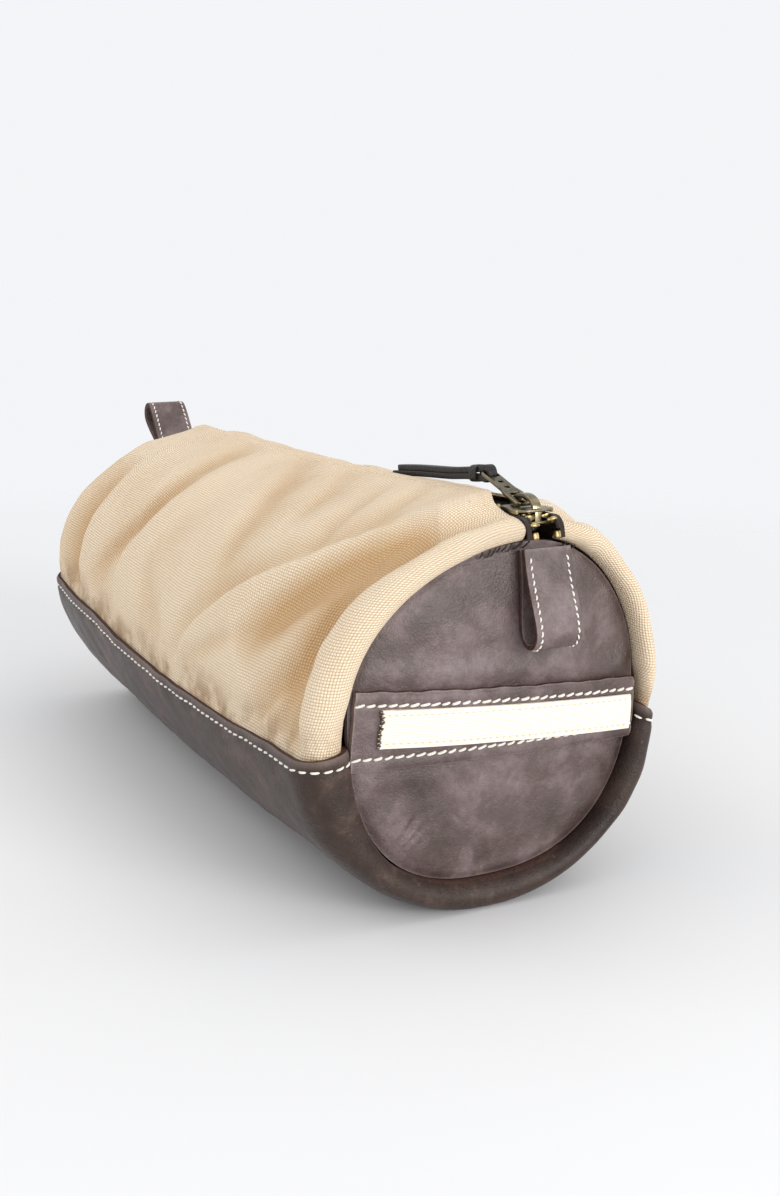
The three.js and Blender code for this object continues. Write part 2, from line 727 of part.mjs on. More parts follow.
bag.add(piece("bottom_panel", bottomPanel(), materials.leather));
for (const [side, front] of [["front", true], ["back", false]]) {
  bag.add(piece("canvas_panel_" + side, canvasPanel(front), materials.canvas));
  bag.add(piece("zipper_tape_" + side, zipperTape(front), materials.tape));
  bag.add(piece("zipper_teeth_" + side, zipperTeeth(front), materials.brass));
  bag.add(piece("top_stop_" + side, topStop(front), materials.brass));
}
bag.add(piece("bottom_stop", bottomStop(), materials.brass));

for (const [name, side] of [["right", 1], ["left", -1]]) {
  bag.add(piece("end_panel_" + name, endPanel(side), materials.leather));
  bag.add(piece("end_band_" + name, endBand(side), materials.leather));
  bag.add(piece("webbing_strip_" + name, webbingStrip(side), materials.webbing));
}

for (const tab of [TAB_RIGHT, TAB_LEFT]) {
  const root = panelSurfaceAt(tab.side, tab.y, tab.z, tab.rootOut);
  const loop = piece("tab_loop_" + tab.name, tabLoop(tab.stub), materials.leather);
  bag.add(placed(loop, root, -tab.side * radians(tab.turn)));
}

const sliderPoint = new THREE.Vector3(SLIDER_X, ridgeBack(SLIDER_X), CHAIN_HEIGHT);
const slider = placed(piece("slider_body", sliderBody(), materials.brass), sliderPoint, -pitch, yaw);
slider.add(piece("slider_crown", sliderCrown(), materials.brass));

// The puller leans back over the chain, and the thong runs on from its slot, down to the canvas.
const axle = new THREE.Vector3(0, 0, PLATE_OUT + PULLER_AXLE);
const pull = placed(piece("puller", puller(), materials.brass), axle, Math.PI + radians(PULLER_LIFT));
const thong = placed(
  piece("pull_thong", pullThong(), materials.thong),
  new THREE.Vector3((SLOT[1] + PULLER_LENGTH) / 2, 0, 0),
  -radians(PULLER_LIFT + THONG_DROOP),
);
pull.add(thong);
slider.add(pull);
bag.add(slider);

// The origin is under the middle of the whole object, on the surface it stands on.
bag.updateMatrixWorld(true);
const box = new THREE.Box3().setFromObject(bag, true);
const middle = box.getCenter(new THREE.Vector3());
bag.position.set(-middle.x, -middle.y, -box.min.z);

export default bag;
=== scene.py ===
"""The looks of a barrel-shaped shaving kit bag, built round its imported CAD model.

Shapes are worked out in millimetres in the bag's own frame (long axis X, front side -Y, up +Z,
X = 0 and Y = 0 in the middle of the body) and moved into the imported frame, in metres, when a
mesh is made.
"""
import math
import random

import bmesh
import bpy
import numpy as np
from mathutils import Matrix, Vector


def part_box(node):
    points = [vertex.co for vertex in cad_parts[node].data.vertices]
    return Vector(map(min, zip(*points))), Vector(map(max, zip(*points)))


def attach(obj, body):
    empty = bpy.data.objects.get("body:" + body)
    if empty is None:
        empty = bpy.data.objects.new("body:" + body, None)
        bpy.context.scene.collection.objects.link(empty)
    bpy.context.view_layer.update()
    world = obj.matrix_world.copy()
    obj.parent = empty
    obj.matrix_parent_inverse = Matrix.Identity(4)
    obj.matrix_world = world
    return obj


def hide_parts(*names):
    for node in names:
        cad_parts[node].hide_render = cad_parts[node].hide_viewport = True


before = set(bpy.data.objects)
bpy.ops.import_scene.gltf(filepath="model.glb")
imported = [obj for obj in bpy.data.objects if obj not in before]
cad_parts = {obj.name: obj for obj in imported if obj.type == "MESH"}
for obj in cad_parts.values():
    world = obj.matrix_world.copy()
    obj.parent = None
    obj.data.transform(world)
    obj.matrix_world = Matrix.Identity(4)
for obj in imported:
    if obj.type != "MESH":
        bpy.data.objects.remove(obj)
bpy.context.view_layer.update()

# ---------------------------------------------------------------- dimensions, in millimetres

BODY_LENGTH = 305
HALF = BODY_LENGTH / 2
HALF_WIDTH = 72
BACK_NARROWER = 3
LEFT_SCALE = 0.93
MIDDLE_BULGE = 2.5
RIDGE_RIGHT, RIDGE_LEFT, RIDGE_RISE = 144, 129.5, 1.75
RIDGE_DIP, DIP_START, DIP_LENGTH = 5, 124, 20
RIDGE_BACK_RIGHT, RIDGE_BACK_LEFT = 16.5, 14
SEAM_HEIGHT, SEAM_SAG = 63, 6
FLOOR_FLAT = 2
BODY_FULLNESS = (2.05, 2.1, 1.87, 2)
RIM_FRONT, RIM_BACK, RIM_TUCK = 6, 11, 4
PANEL_FRONT, PANEL_BACK = 54, 60
PANEL_TOP_RIGHT, PANEL_TOP_LEFT, PANEL_BOTTOM = 129.5, 118.5, 10
PANEL_WIDEST = 76
PANEL_FULLNESS = (2, 1.95, 2.5, 2.4)
PANEL_BULGE, PANEL_MIDDLE = 5, 72
SEAM_TURN = 0.1
LEATHER, CANVAS, GAP = 2.2, 0.9, 0.3
CANVAS_INSET, OVERLAP = 0.5, 9
FLAP_OPENING, SLIDER_OPENING, OPENING_X = 4.6, 8, (112, 128)
FLAP_X = (121, 133)  # where the canvas edge widens; OPENING_X is where the tape narrows
BAND_FRONT, BAND_BACK = (57, 84.5), (54.5, 76.5)
WEBBING_FRONT, WEBBING_BACK = (65, 78.2), (58, 70.5)
BAND_MARGIN, WEBBING_THICK, WEBBING_START, WEBBING_STOP = 0.8, 1.2, 10, 3
CHAIN_X, CHAIN_HEIGHT, CHAIN_SLOPE = (-141, 147), 137, 0.06
BEND_RADIUS, BEND_TURN, BEND_TAIL = 5, 75, 3
TAPE, TAPE_NARROW, TAPE_WIDE, TAPE_GAP = 0.7, 7.4, 10.5, 1
TOOTH_PITCH, TOOTH_WIDTH, TOOTH_THICK, TOOTH_TIP = 3.8, 1.5, 2.4, -0.6
CORD_IN, CORD_OUT, CORD_THICK, ROW_SPREAD, STOP_LENGTH = 2.2, 3, 1.6, 2.6, 2.4
SLIDER_X, SLIDER_LENGTH, NOSE_HALF, TAIL_HALF = 139.5, 17, 7.4, 4.7
PLATE = 0.9
PLATE_IN = TOOTH_THICK / 2 + 0.4
PLATE_OUT = PLATE_IN + PLATE
POST_LENGTH = 5
CROWN_WIDTH, CROWN_OUT, CROWN_IN = 3.4, (7.4, 4.5), (6, 3.2)
PULLER_AXLE, PULLER_THICK, PULLER_LENGTH, PULLER_HALF = 1.1, 1.4, 26, (3.7, 2.9)
EYE, EYE_HALF, SLOT, SLOT_HALF = (0.7, 8), 2.1, (21.2, 24.6), 2.2
PULLER_HOLES, PULLER_HOLE_RADIUS, PULLER_LIFT = (12.5, 17), 1, 18.5
THONG_LENGTH, THONG_WIDTH, THONG_LEAF, THONG_EYE, THONG_DROOP = 70, 3.6, 1.7, 1.25, 4.5
TAB_WIDTH, TAB_LENGTH, TAB_LEATHER, TAB_BELLY = 19, 34, 2, 11.5
TAB_RIGHT = {"name": "right", "side": 1, "y": 17.5, "z": 127.3, "turn": 13, "out": 3.3, "stub": 0}
TAB_LEFT = {"name": "left", "side": -1, "y": 0.5, "z": 115, "turn": 131, "out": 6, "stub": 3}

# stitches: pitch, length and radius, and how far their rows are from an edge
HEM_STITCH, TROUGH_STITCH, BAND_STITCH = (3.1, 2.1, 0.24), (4.5, 3.5, 0.42), (3.9, 3.9, 0.5)
WEBBING_STITCH, TAB_STITCH = (2.6, 1.3, 0.2), (2.5, 2.0, 0.32)
HEM_FROM_EDGE, SEAM_FROM_EDGE, BAND_SEAM_FROM_EDGE, TAB_SEAM_FROM_EDGE = 3.2, 4.6, 4.4, 2.2


def middle_of(node):
    low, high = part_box(node)
    return (low + high) * 500  # half of the sum, in millimetres


SHIFT = np.array([middle_of("bottom_panel").x, middle_of("tab_loop_right").y - TAB_RIGHT["y"], 0.0])


def to_row(points):
    """From the bag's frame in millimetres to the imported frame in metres."""
    return (np.asarray(points, float) + SHIFT) / 1000


# ---------------------------------------------------------------- the bag's surface


def lerp(a, b, t):
    return a + (b - a) * t


def smooth(t):
    t = np.clip(t, 0, 1)
    return t * t * (3 - 2 * t)


def ridge_back(x):
    return lerp(RIDGE_BACK_LEFT, RIDGE_BACK_RIGHT, (x + HALF) / BODY_LENGTH)


def outline_point(o, angle):
    """y and z of an outline made of four quarter curves: 0 is the back, a quarter turn is the top."""
    c, s = np.cos(angle), np.sin(angle)
    top, front = s > 0, c < 0
    power = 2 / np.array(o["fullness"])[np.where(top, 0, 2) + np.where(front, 0, 1)]
    middle = np.where(top, o["offset"], 0)
    reach = np.where(front, o["front"] + middle, o["back"] - middle)
    rise = np.where(top, o["top"] - o["widest"], o["widest"] - o["bottom"])
    y = middle + reach * np.sign(c) * np.abs(c) ** power
    z = o["widest"] + rise * np.sign(s) * np.abs(s) ** power
    return y, z


def body_outline(x):
    along = (x + HALF) / BODY_LENGTH
    inner = 1 - (x / HALF) ** 2
    width = HALF_WIDTH * lerp(LEFT_SCALE, 1, along) + MIDDLE_BULGE * inner
    dip = RIDGE_DIP * smooth((x - DIP_START) / DIP_LENGTH)
    return {
        "front": width,
        "back": width - BACK_NARROWER,
        "top": lerp(RIDGE_LEFT, RIDGE_RIGHT, np.maximum(along, 0) ** RIDGE_RISE) - dip,
        "bottom": -FLOOR_FLAT,
        "widest": SEAM_HEIGHT - SEAM_SAG * inner,
        "offset": ridge_back(x),
        "fullness": BODY_FULLNESS,
    }


def panel_outline(side):
    scale = 1 if side > 0 else LEFT_SCALE
    return {
        "front": PANEL_FRONT * scale,
        "back": PANEL_BACK * scale,
        "top": PANEL_TOP_RIGHT if side > 0 else PANEL_TOP_LEFT,
        "bottom": PANEL_BOTTOM,
        "widest": PANEL_WIDEST,
        "offset": ridge_back(side * HALF),
        "fullness": PANEL_FULLNESS,
    }


def panel_point(side, angle):
    return outline_point(panel_outline(side), angle - SEAM_TURN * np.cos(angle))


def surface_point(place, angle):
    """Place 0 to 1 runs over the right rim, 1 to 2 along the body and 2 to 3 over the left rim."""
    place, angle = np.broadcast_arrays(np.asarray(place, float), np.asarray(angle, float))
    right = place < 1.5
    roll = np.minimum(place, 3 - place)
    turn = np.pi * np.clip(roll, 0, 1)
    share = (1 - np.cos(turn)) / 2
    depth = np.where(turn < np.pi / 2, RIM_FRONT, RIM_BACK) * (1 - np.sin(turn))
    rim_x = np.where(right, 1, -1) * (HALF - depth - np.maximum(-roll, 0) * RIM_TUCK)
    body_x = lerp(HALF - RIM_BACK, RIM_BACK - HALF, place - 1)
    x = np.where(roll >= 1, body_x, rim_x)
    body_y, body_z = outline_point(body_outline(x), angle)
    right_y, right_z = panel_point(1, angle)
    left_y, left_z = panel_point(-1, angle)
    panel_y, panel_z = np.where(right, right_y, left_y), np.where(right, right_z, left_z)
    return np.stack([x, lerp(panel_y, body_y, share), lerp(panel_z, body_z, share)], -1)


def unit(v):
    return v / np.maximum(np.linalg.norm(v, axis=-1, keepdims=True), 1e-9)


def surface_normal(place, angle):
    step = 1e-3
    along = surface_point(place + step, angle) - surface_point(place - step, angle)
    around = surface_point(place, angle + step) - surface_point(place, angle - step)
    return unit(np.cross(along, around))


def beside_ridge(place, distance):
    """The angle of a line beside the ridge, a distance to the front of it or, if negative, behind."""
    place = np.asarray(place, float)
    towards = np.sign(distance)
    ridge = surface_point(place, np.pi / 2)[..., 1]
    low, high = np.zeros_like(place), np.full_like(place, 1.2)
    for _ in range(24):
        middle = (low + high) / 2
        near = np.abs(surface_point(place, np.pi / 2 + towards * middle)[..., 1] - ridge) < np.abs(distance)
        low, high = np.where(near, middle, low), np.where(near, high, middle)
    return np.pi / 2 + towards * (low + high) / 2


def opening(place):
    """From the ridge to the edge of the canvas."""
    x = surface_point(place, np.pi / 2)[..., 0]
    wide = smooth((x - FLAP_X[0]) / (FLAP_X[1] - FLAP_X[0]))
    return np.where(place < 1, SLIDER_OPENING, lerp(FLAP_OPENING, SLIDER_OPENING, wide))


def bell(distance, width):
    return np.exp(-((distance / width) ** 2))


def wander(u, v, size, seed):
    """Smooth, seeded unevenness from about -1 to 1, with lumps of about the given size."""
    draw = random.Random(seed)
    total = np.zeros(np.broadcast(u, v).shape)
    waves = 6
    for _ in range(waves):
        turn = draw.uniform(0, math.pi)
        rate = 2 * math.pi / (size * draw.uniform(1.3, 2.6))
        total = total + np.sin((u * math.cos(turn) + v * math.sin(turn)) * rate + draw.uniform(0, 6.28))
    return total / math.sqrt(waves)


# ---------------------------------------------------------------- mesh helpers


def make(name, points, faces, material, body, replaces=(), cut=None, sharp=45, at=None):
    """An object from points in the bag's frame, riding on a body."""
    if at is not None:
        points = at(points)
    mesh = bpy.data.meshes.new(name)
    mesh.from_pydata(to_row(points).tolist(), [], [list(map(int, f)) for f in faces])
    if cut is not None:
        values = np.zeros((len(points), 3), np.float32)
        values[:, : cut.shape[1]] = cut
        attribute = mesh.attributes.new("cut", "FLOAT_VECTOR", "POINT")
        attribute.data.foreach_set("vector", values.ravel())
    shape = bmesh.new()
    shape.from_mesh(mesh)
    bmesh.ops.recalc_face_normals(shape, faces=shape.faces)
    for edge in shape.edges:
        edge.smooth = edge.calc_face_angle(0) < math.radians(sharp)
    for face in shape.faces:
        face.smooth = True
    shape.to_mesh(mesh)
    shape.free()
    mesh.materials.append(material)
    piece = bpy.data.objects.new(name, mesh)
    bpy.context.scene.collection.objects.link(piece)
    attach(piece, body)
    if replaces:
        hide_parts(*replaces)
    return piece


def raw_faces(piece, chosen):
    """Gives the cut edges of a leather piece the look of raw leather."""
    piece.data.materials.append(RAW_EDGE)
    for face in piece.data.polygons:
        if chosen(face.normal):
            face.material_index = 1


def shell(outer, inner, ring=False):
    """A closed sheet from two grids of points; ring joins the last column to the first."""
    n, m = outer.shape[:2]
    top = np.arange(n * m).reshape(n, m)
    low = top + n * m
    points = np.concatenate([outer.reshape(-1, 3), inner.reshape(-1, 3)])
    faces = []

    def strip(a, b):
        faces.extend(np.stack([a[:-1], a[1:], b[1:], b[:-1]], -1).reshape(-1, 4).tolist())

    if ring:
        top, low = (np.concatenate([g, g[:, :1]], 1) for g in (top, low))
    for j in range(top.shape[1] - 1):
        strip(top[:, j], top[:, j + 1])
        strip(low[:, j + 1], low[:, j])
    for i, flip in ((0, False), (n - 1, True)):
        a, b = (low[i], top[i]) if flip else (top[i], low[i])
        strip(a, b)
    if not ring:
        for j, flip in ((0, True), (m - 1, False)):
            a, b = (low[:, j], top[:, j]) if flip else (top[:, j], low[:, j])
            strip(a, b)
    return points, faces


def run_along(grid, axis):
    """Distance run along one axis of a grid of points."""
    steps = np.linalg.norm(np.diff(grid, axis=axis), axis=-1)
    start = np.zeros_like(np.take(steps, [0], axis))
    return np.concatenate([start, np.cumsum(steps, axis)], axis)


def cut_of(outer, relief=0.0):
    """Where each point of a sheet was in the flat cut, and its relief, for both faces of its shell."""
    relief = np.broadcast_to(relief, outer.shape[:2])
    flat = np.stack([run_along(outer, 0), run_along(outer, 1), relief], -1).reshape(-1, 3)
    return np.concatenate([flat, flat])


def resample(line, step):
    """Even steps along a line: the share of an index that each one falls at."""
    run = run_along(line, 0)
    count = max(int(round(run[-1] / step)), 1)
    return np.interp((np.arange(count) + 0.5) * run[-1] / count, run, np.arange(len(run)))


def pick(values, where):
    low = np.clip(np.floor(where).astype(int), 0, len(values) - 2)
    return lerp(values[low], values[low + 1], (where - low)[:, None])


def rounded_section(corner, count=24):
    """A rectangle from -1 to 1 each way, its corners rounded by a power."""
    angle = (np.arange(count) + 0.5) * 2 * np.pi / count
    c, s = np.cos(angle), np.sin(angle)
    return np.sign(c) * np.abs(c) ** corner, np.sign(s) * np.abs(s) ** corner


def tube_faces(rings, sides, closed=False):
    """The faces of a tube made of rings of points, with end caps unless it closes on itself."""
    index = np.arange(rings * sides).reshape(rings, sides)
    faces = []
    for i in range(rings if closed else rings - 1):
        here, there = index[i], index[(i + 1) % rings]
        for j in range(sides):
            k = (j + 1) % sides
            faces.append([here[j], there[j], there[k], here[k]])
    if not closed:
        faces += [index[0].tolist(), index[-1][::-1].tolist()]
    return faces


def strap(line, side, width, thick, corner=0.28, closed=False, count=24):
    """A strap along a line: side points across it, and width and thick may change along it."""
    line = np.asarray(line, float)
    side = unit(np.broadcast_to(np.asarray(side, float), line.shape))
    if closed:
        ahead = np.roll(line, -1, 0) - np.roll(line, 1, 0)
    else:
        ahead = np.gradient(line, axis=0)
    up = unit(np.cross(unit(ahead), side))
    w = np.broadcast_to(np.asarray(width, float) / 2, len(line))[:, None, None]
    t = np.broadcast_to(np.asarray(thick, float) / 2, len(line))[:, None, None]
    a, b = rounded_section(corner, count)
    rings = line[:, None] + side[:, None] * a[None, :, None] * w + up[:, None] * b[None, :, None] * t
    return rings.reshape(-1, 3), tube_faces(len(line), count, closed)


def joined(parts):
    points, faces, start = [], [], 0
    for part_points, part_faces in parts:
        points.append(part_points)
        faces.extend([[i + start for i in f] for f in part_faces])
        start += len(part_points)
    return np.concatenate(points), faces


def plate(outlines, thick, bevel):
    """A flat plate with holes and rounded edges, in its own XY plane."""
    curve = bpy.data.curves.new("outline", "CURVE")
    curve.dimensions = "2D"
    curve.fill_mode = "BOTH"
    curve.extrude = thick / 2 - bevel
    curve.bevel_depth = bevel
    curve.bevel_resolution = 2
    curve.offset = -bevel
    for outline in outlines:
        spline = curve.splines.new("POLY")
        spline.points.add(len(outline) - 1)
        spline.use_cyclic_u = True
        for point, (x, y) in zip(spline.points, outline):
            point.co = (x, y, 0, 1)
    holder = bpy.data.objects.new("outline", curve)
    bpy.context.scene.collection.objects.link(holder)
    bpy.context.view_layer.update()
    mesh = bpy.data.meshes.new_from_object(holder.evaluated_get(bpy.context.evaluated_depsgraph_get()))
    shape = bmesh.new()
    shape.from_mesh(mesh)
    bmesh.ops.remove_doubles(shape, verts=shape.verts, dist=1e-4)
    shape.verts.index_update()
    points = np.array([v.co for v in shape.verts])
    faces = [[v.index for v in f.verts] for f in shape.faces]
    shape.free()
    bpy.data.objects.remove(holder)
    bpy.data.curves.remove(curve)
    bpy.data.meshes.remove(mesh)
    return points, faces


def rounded(corners, radius, steps=5):
    """An outline with its corners rounded."""
    points = []
    corners = np.asarray(corners, float)
    for i, corner in enumerate(corners):
        before, after = corners[i - 1] - corner, corners[(i + 1) % len(corners)] - corner
        reach = min(radius, np.linalg.norm(before) / 2.1, np.linalg.norm(after) / 2.1)
        start, end = corner + unit(before) * reach, corner + unit(after) * reach
        for t in np.linspace(0, 1, steps):
            points.append((1 - t) ** 2 * start + 2 * t * (1 - t) * corner + t * t * end)
    return np.array(points)


def mirrored(side):
    """A closed outline from one side of it, mirrored across the X axis."""
    return [(x, -y) for x, y in side] + [(x, y) for x, y in side[::-1]]


def circle(x, y, radius, count=20):
    angle = np.arange(count) * 2 * np.pi / count
    return np.stack([x + radius * np.cos(angle), y + radius * np.sin(angle)], -1)


def turned(matrix, origin):
    """A function that turns points and moves them to an origin."""
    return lambda points: np.asarray(points) @ np.array(matrix).T + np.asarray(origin)


# ---------------------------------------------------------------- materials


def srgb(r, g, b):
    """A linear colour from 8-bit display values."""
    return tuple(((v / 255 + 0.055) / 1.055) ** 2.4 if v > 10 else v / 255 / 12.92 for v in (r, g, b)) + (1,)


class Shader:
    """A material's node tree, with short names for the nodes used here."""

    def __init__(self, name, roughness=0.7, **constants):
        self.material = bpy.data.materials.new(name)
        self.material.use_nodes = True
        self.tree = self.material.node_tree
        self.surface = self.tree.nodes["Principled BSDF"]
        self.surface.inputs["Roughness"].default_value = roughness
        for key, value in constants.items():
            self.surface.inputs[key.replace("_", " ")].default_value = value
        self.object = self.add("ShaderNodeTexCoord").outputs["Object"]

    def add(self, kind, **settings):
        node = self.tree.nodes.new(kind)
        for key, value in settings.items():
            setattr(node, key, value)
        return node

    def feed(self, socket, value):
        if isinstance(value, bpy.types.NodeSocket):
            self.tree.links.new(value, socket)
        else:
            socket.default_value = value

    def math(self, operation, a, b=0.0, c=0.0, clamp=False):
        node = self.add("ShaderNodeMath", operation=operation, use_clamp=clamp)
        for socket, value in zip(node.inputs, (a, b, c)):
            self.feed(socket, value)
        return node.outputs[0]

    def noise(self, scale, detail=3.0, rough=0.55, vector=None, distortion=0.0):
        node = self.add("ShaderNodeTexNoise")
        self.feed(node.inputs["Vector"], vector or self.object)
        node.inputs["Scale"].default_value = scale
        node.inputs["Detail"].default_value = detail
        node.inputs["Roughness"].default_value = rough
        node.inputs["Distortion"].default_value = distortion
        return node.outputs["Fac"]

    def cells(self, scale, feature="F1", output="Distance", vector=None):
        node = self.add("ShaderNodeTexVoronoi", feature=feature)
        self.feed(node.inputs["Vector"], vector or self.object)
        node.inputs["Scale"].default_value = scale
        return node.outputs[output]

    def stretch(self, scale, vector=None, turn=(0, 0, 0)):
        node = self.add("ShaderNodeMapping")
        self.feed(node.inputs["Vector"], vector or self.object)
        node.inputs["Scale"].default_value = scale
        node.inputs["Rotation"].default_value = turn
        return node.outputs["Vector"]

    def span(self, value, low, high, to_low=0.0, to_high=1.0):
        node = self.add("ShaderNodeMapRange", clamp=True)
        ends = {"From Min": low, "From Max": high, "To Min": to_low, "To Max": to_high}
        for key, v in {"Value": value, **ends}.items():
            self.feed(node.inputs[key], v)
        return node.outputs["Result"]

    def mix(self, amount, a, b, blend="MIX"):
        node = self.add("ShaderNodeMix", data_type="RGBA", blend_type=blend)
        self.feed(node.inputs["Factor"], amount)
        self.feed(node.inputs[6], a)
        self.feed(node.inputs[7], b)
        return node.outputs[2]

    def cut(self):
        """The two coordinates of the sheet's flat cut and its relief, in millimetres."""
        node = self.add("ShaderNodeAttribute", attribute_name="cut")
        parts = self.add("ShaderNodeSeparateXYZ")
        self.tree.links.new(node.outputs["Vector"], parts.inputs[0])
        return parts.outputs[0], parts.outputs[1], parts.outputs[2]

    def edges(self, low=0.52, high=0.62):
        """High where the surface bends outwards."""
        return self.span(self.add("ShaderNodeNewGeometry").outputs["Pointiness"], low, high)

    def wave(self, value, pitch):
        return self.math("SINE", self.math("MULTIPLY", value, math.pi / pitch))

    def bump(self, height, distance, strength=1.0, under=None):
        node = self.add("ShaderNodeBump")
        node.inputs["Distance"].default_value = distance / 1000
        node.inputs["Strength"].default_value = strength
        self.feed(node.inputs["Height"], height)
        if under is not None:
            self.feed(node.inputs["Normal"], under)
        return node.outputs["Normal"]

    def set(self, **sockets):
        for key, value in sockets.items():
            self.feed(self.surface.inputs[key.replace("_", " ")], value)
        return self.material


def oiled_leather(name, dark, middle, light, edge, lift, shine):
    """Oiled leather that turns paler where it has been pulled, with pores, scuffs and worn edges."""
    s = Shader(name, Specular_IOR_Level=shine, Sheen_Weight=0.05, Sheen_Roughness=0.45)
    s.surface.inputs["Sheen Tint"].default_value = srgb(214, 210, 226)
    clouds = s.noise(26, 5, 0.62, distortion=0.5)
    patches = s.noise(75, 4, 0.6)
    blend = s.math("ADD", s.math("MULTIPLY", clouds, 0.62), s.math("MULTIPLY", patches, 0.38))
    colour = s.mix(s.span(blend, 0.36, lift + 0.04), dark, middle)
    colour = s.mix(s.span(blend, lift, lift + 0.17), colour, light)
    mottle = s.noise(420, 4, 0.7)
    colour = s.mix(s.span(mottle, 0.35, 0.72, 0, 0.4), colour, dark)
    scuffs = s.noise(1.0, 3, 0.6, vector=s.stretch((60, 420, 900), turn=(0.5, 0.2, 0.3)))
    colour = s.mix(s.span(scuffs, 0.62, 0.74, 0, 0.35), colour, light)
    colour = s.mix(s.math("MULTIPLY", s.edges(), 0.55), colour, edge)
    pores = s.cells(1500, "SMOOTH_F1")
    grain = s.bump(s.span(pores, 0.0, 0.55), 0.14, 0.7)
    grain = s.bump(s.noise(620, 5, 0.7), 0.34, 0.8, grain)
    grain = s.bump(s.noise(120, 4, 0.55), 0.7, 0.5, grain)
    rough = s.span(s.math("ADD", blend, s.math("MULTIPLY", mottle, 0.3)), 0.4, 0.85, 0.33, 0.5)
    return s.set(Base_Color=colour, Roughness=rough, Normal=grain)


def raw_edge_leather():
    s = Shader("leather_raw_edge", 0.8, Specular_IOR_Level=0.3)
    fibres = s.noise(900, 5, 0.75)
    colour = s.mix(s.span(fibres, 0.3, 0.7), srgb(44, 30, 26), srgb(92, 64, 54))
    return s.set(Base_Color=colour, Normal=s.bump(fibres, 0.3, 0.8))


def duck_canvas():
    """Heavy cotton duck: a plain weave of plump threads, with slubs and a few soiled specks."""
    s = Shader("cotton_duck", 0.92, Specular_IOR_Level=0.15, Sheen_Weight=0.2, Sheen_Roughness=0.6)
    s.surface.inputs["Sheen Tint"].default_value = srgb(255, 244, 226)
    u, v, relief = s.cut()
    pitch = 1.08
    slub = s.noise(900, 2, 0.5)
    u_thread = s.math("ADD", u, s.math("MULTIPLY", slub, 0.25))
    v_thread = s.math("ADD", v, s.math("MULTIPLY", slub, 0.25))
    crossing = s.math("MULTIPLY", s.wave(u_thread, pitch), s.wave(v_thread, pitch))
    plump = s.math("POWER", s.math("ABSOLUTE", crossing), 0.55)
    over = s.span(crossing, -0.4, 0.4, 0.72, 1.0)
    height = s.math("MULTIPLY", plump, over)
    yarn = s.noise(1.0, 3, 0.6, vector=s.stretch((260, 2600, 2600)))
    warm = s.mix(s.noise(14, 4, 0.6), srgb(246, 226, 198), srgb(253, 240, 219))
    colour = s.mix(s.span(height, 0.1, 0.8), srgb(208, 178, 138), warm)
    colour = s.mix(s.span(yarn, 0.58, 0.75, 0, 0.25), colour, srgb(250, 236, 212))
    specks = s.span(s.cells(110), 0.035, 0.06, 1, 0)
    specks = s.math("MULTIPLY", specks, s.span(s.noise(40, 1), 0.6, 0.66))
    colour = s.mix(s.math("MULTIPLY", specks, 0.6), colour, srgb(120, 92, 62))
    # Painted shade: the canvas colour is multiplied darker in the fold hollows, by how deep each fold lies.
    hollow = s.span(relief, -5.0, 0.2, 0.8, 0)
    colour = s.mix(hollow, colour, srgb(214, 182, 134), "MULTIPLY")
    soil = s.math("MULTIPLY", s.span(v, 10, 22, 0.75, 0), s.span(s.noise(70, 4, 0.65), 0.42, 0.62))
    colour = s.mix(soil, colour, srgb(158, 120, 78))
    weave = s.bump(height, 0.4, 1.0)
    weave = s.bump(s.noise(1800, 2, 0.6), 0.08, 0.5, weave)
    weave = s.bump(s.noise(60, 3, 0.5), 0.9, 0.35, weave)
    return s.set(Base_Color=colour, Normal=weave)


def cotton_webbing():
    s = Shader("cotton_webbing", 0.9, Specular_IOR_Level=0.15, Sheen_Weight=0.15, Sheen_Roughness=0.6)
    u, v, _ = s.cut()
    rib = s.math("ABSOLUTE", s.wave(v, 0.95))
    knuckle = s.math("ABSOLUTE", s.wave(s.math("ADD", u, s.math("MULTIPLY", v, 0.5)), 0.7))
    height = s.math("MULTIPLY", s.math("POWER", rib, 0.6), s.span(knuckle, 0, 1, 0.7, 1))
    colour = s.mix(s.span(height, 0.1, 0.7), srgb(226, 208, 184), srgb(250, 240, 226))
    colour = s.mix(s.span(s.noise(45, 3), 0.4, 0.7, 0, 0.25), colour, srgb(236, 220, 198))
    # Painted shade: a dark, ragged band over the first millimetre of the webbing's front cut end stands for
    # the shadowed gap at that end.
    ragged = s.math("ADD", u, s.math("MULTIPLY", s.noise(700, 2), 1.2))
    colour = s.mix(s.span(ragged, 0.75, 1.15, 0.9, 0), colour, srgb(70, 48, 38))
    return s.set(Base_Color=colour, Normal=s.bump(height, 0.22, 0.8))


def zipper_cloth():
    s = Shader("zipper_cloth", 0.85, Specular_IOR_Level=0.25, Sheen_Weight=0.1)
    u, v, _ = s.cut()
    twill = s.math("ABSOLUTE", s.wave(s.math("ADD", u, v), 0.55))
    colour = s.mix(twill, srgb(24, 19, 16), srgb(58, 48, 42))
    return s.set(Base_Color=colour, Normal=s.bump(twill, 0.15, 0.8))


def antique_brass():
    s = Shader("antique_brass_metal", Metallic=1.0, Specular_IOR_Level=0.5)
    tarnish = s.noise(520, 4, 0.65)
    colour = s.mix(s.span(tarnish, 0.35, 0.65), srgb(96, 84, 60), srgb(148, 128, 84))
    colour = s.mix(s.edges(0.51, 0.58), colour, srgb(214, 190, 134))
    rough = s.span(tarnish, 0.3, 0.7, 0.26, 0.46)
    return s.set(Base_Color=colour, Roughness=rough, Normal=s.bump(s.noise(1500, 3), 0.03, 0.6))


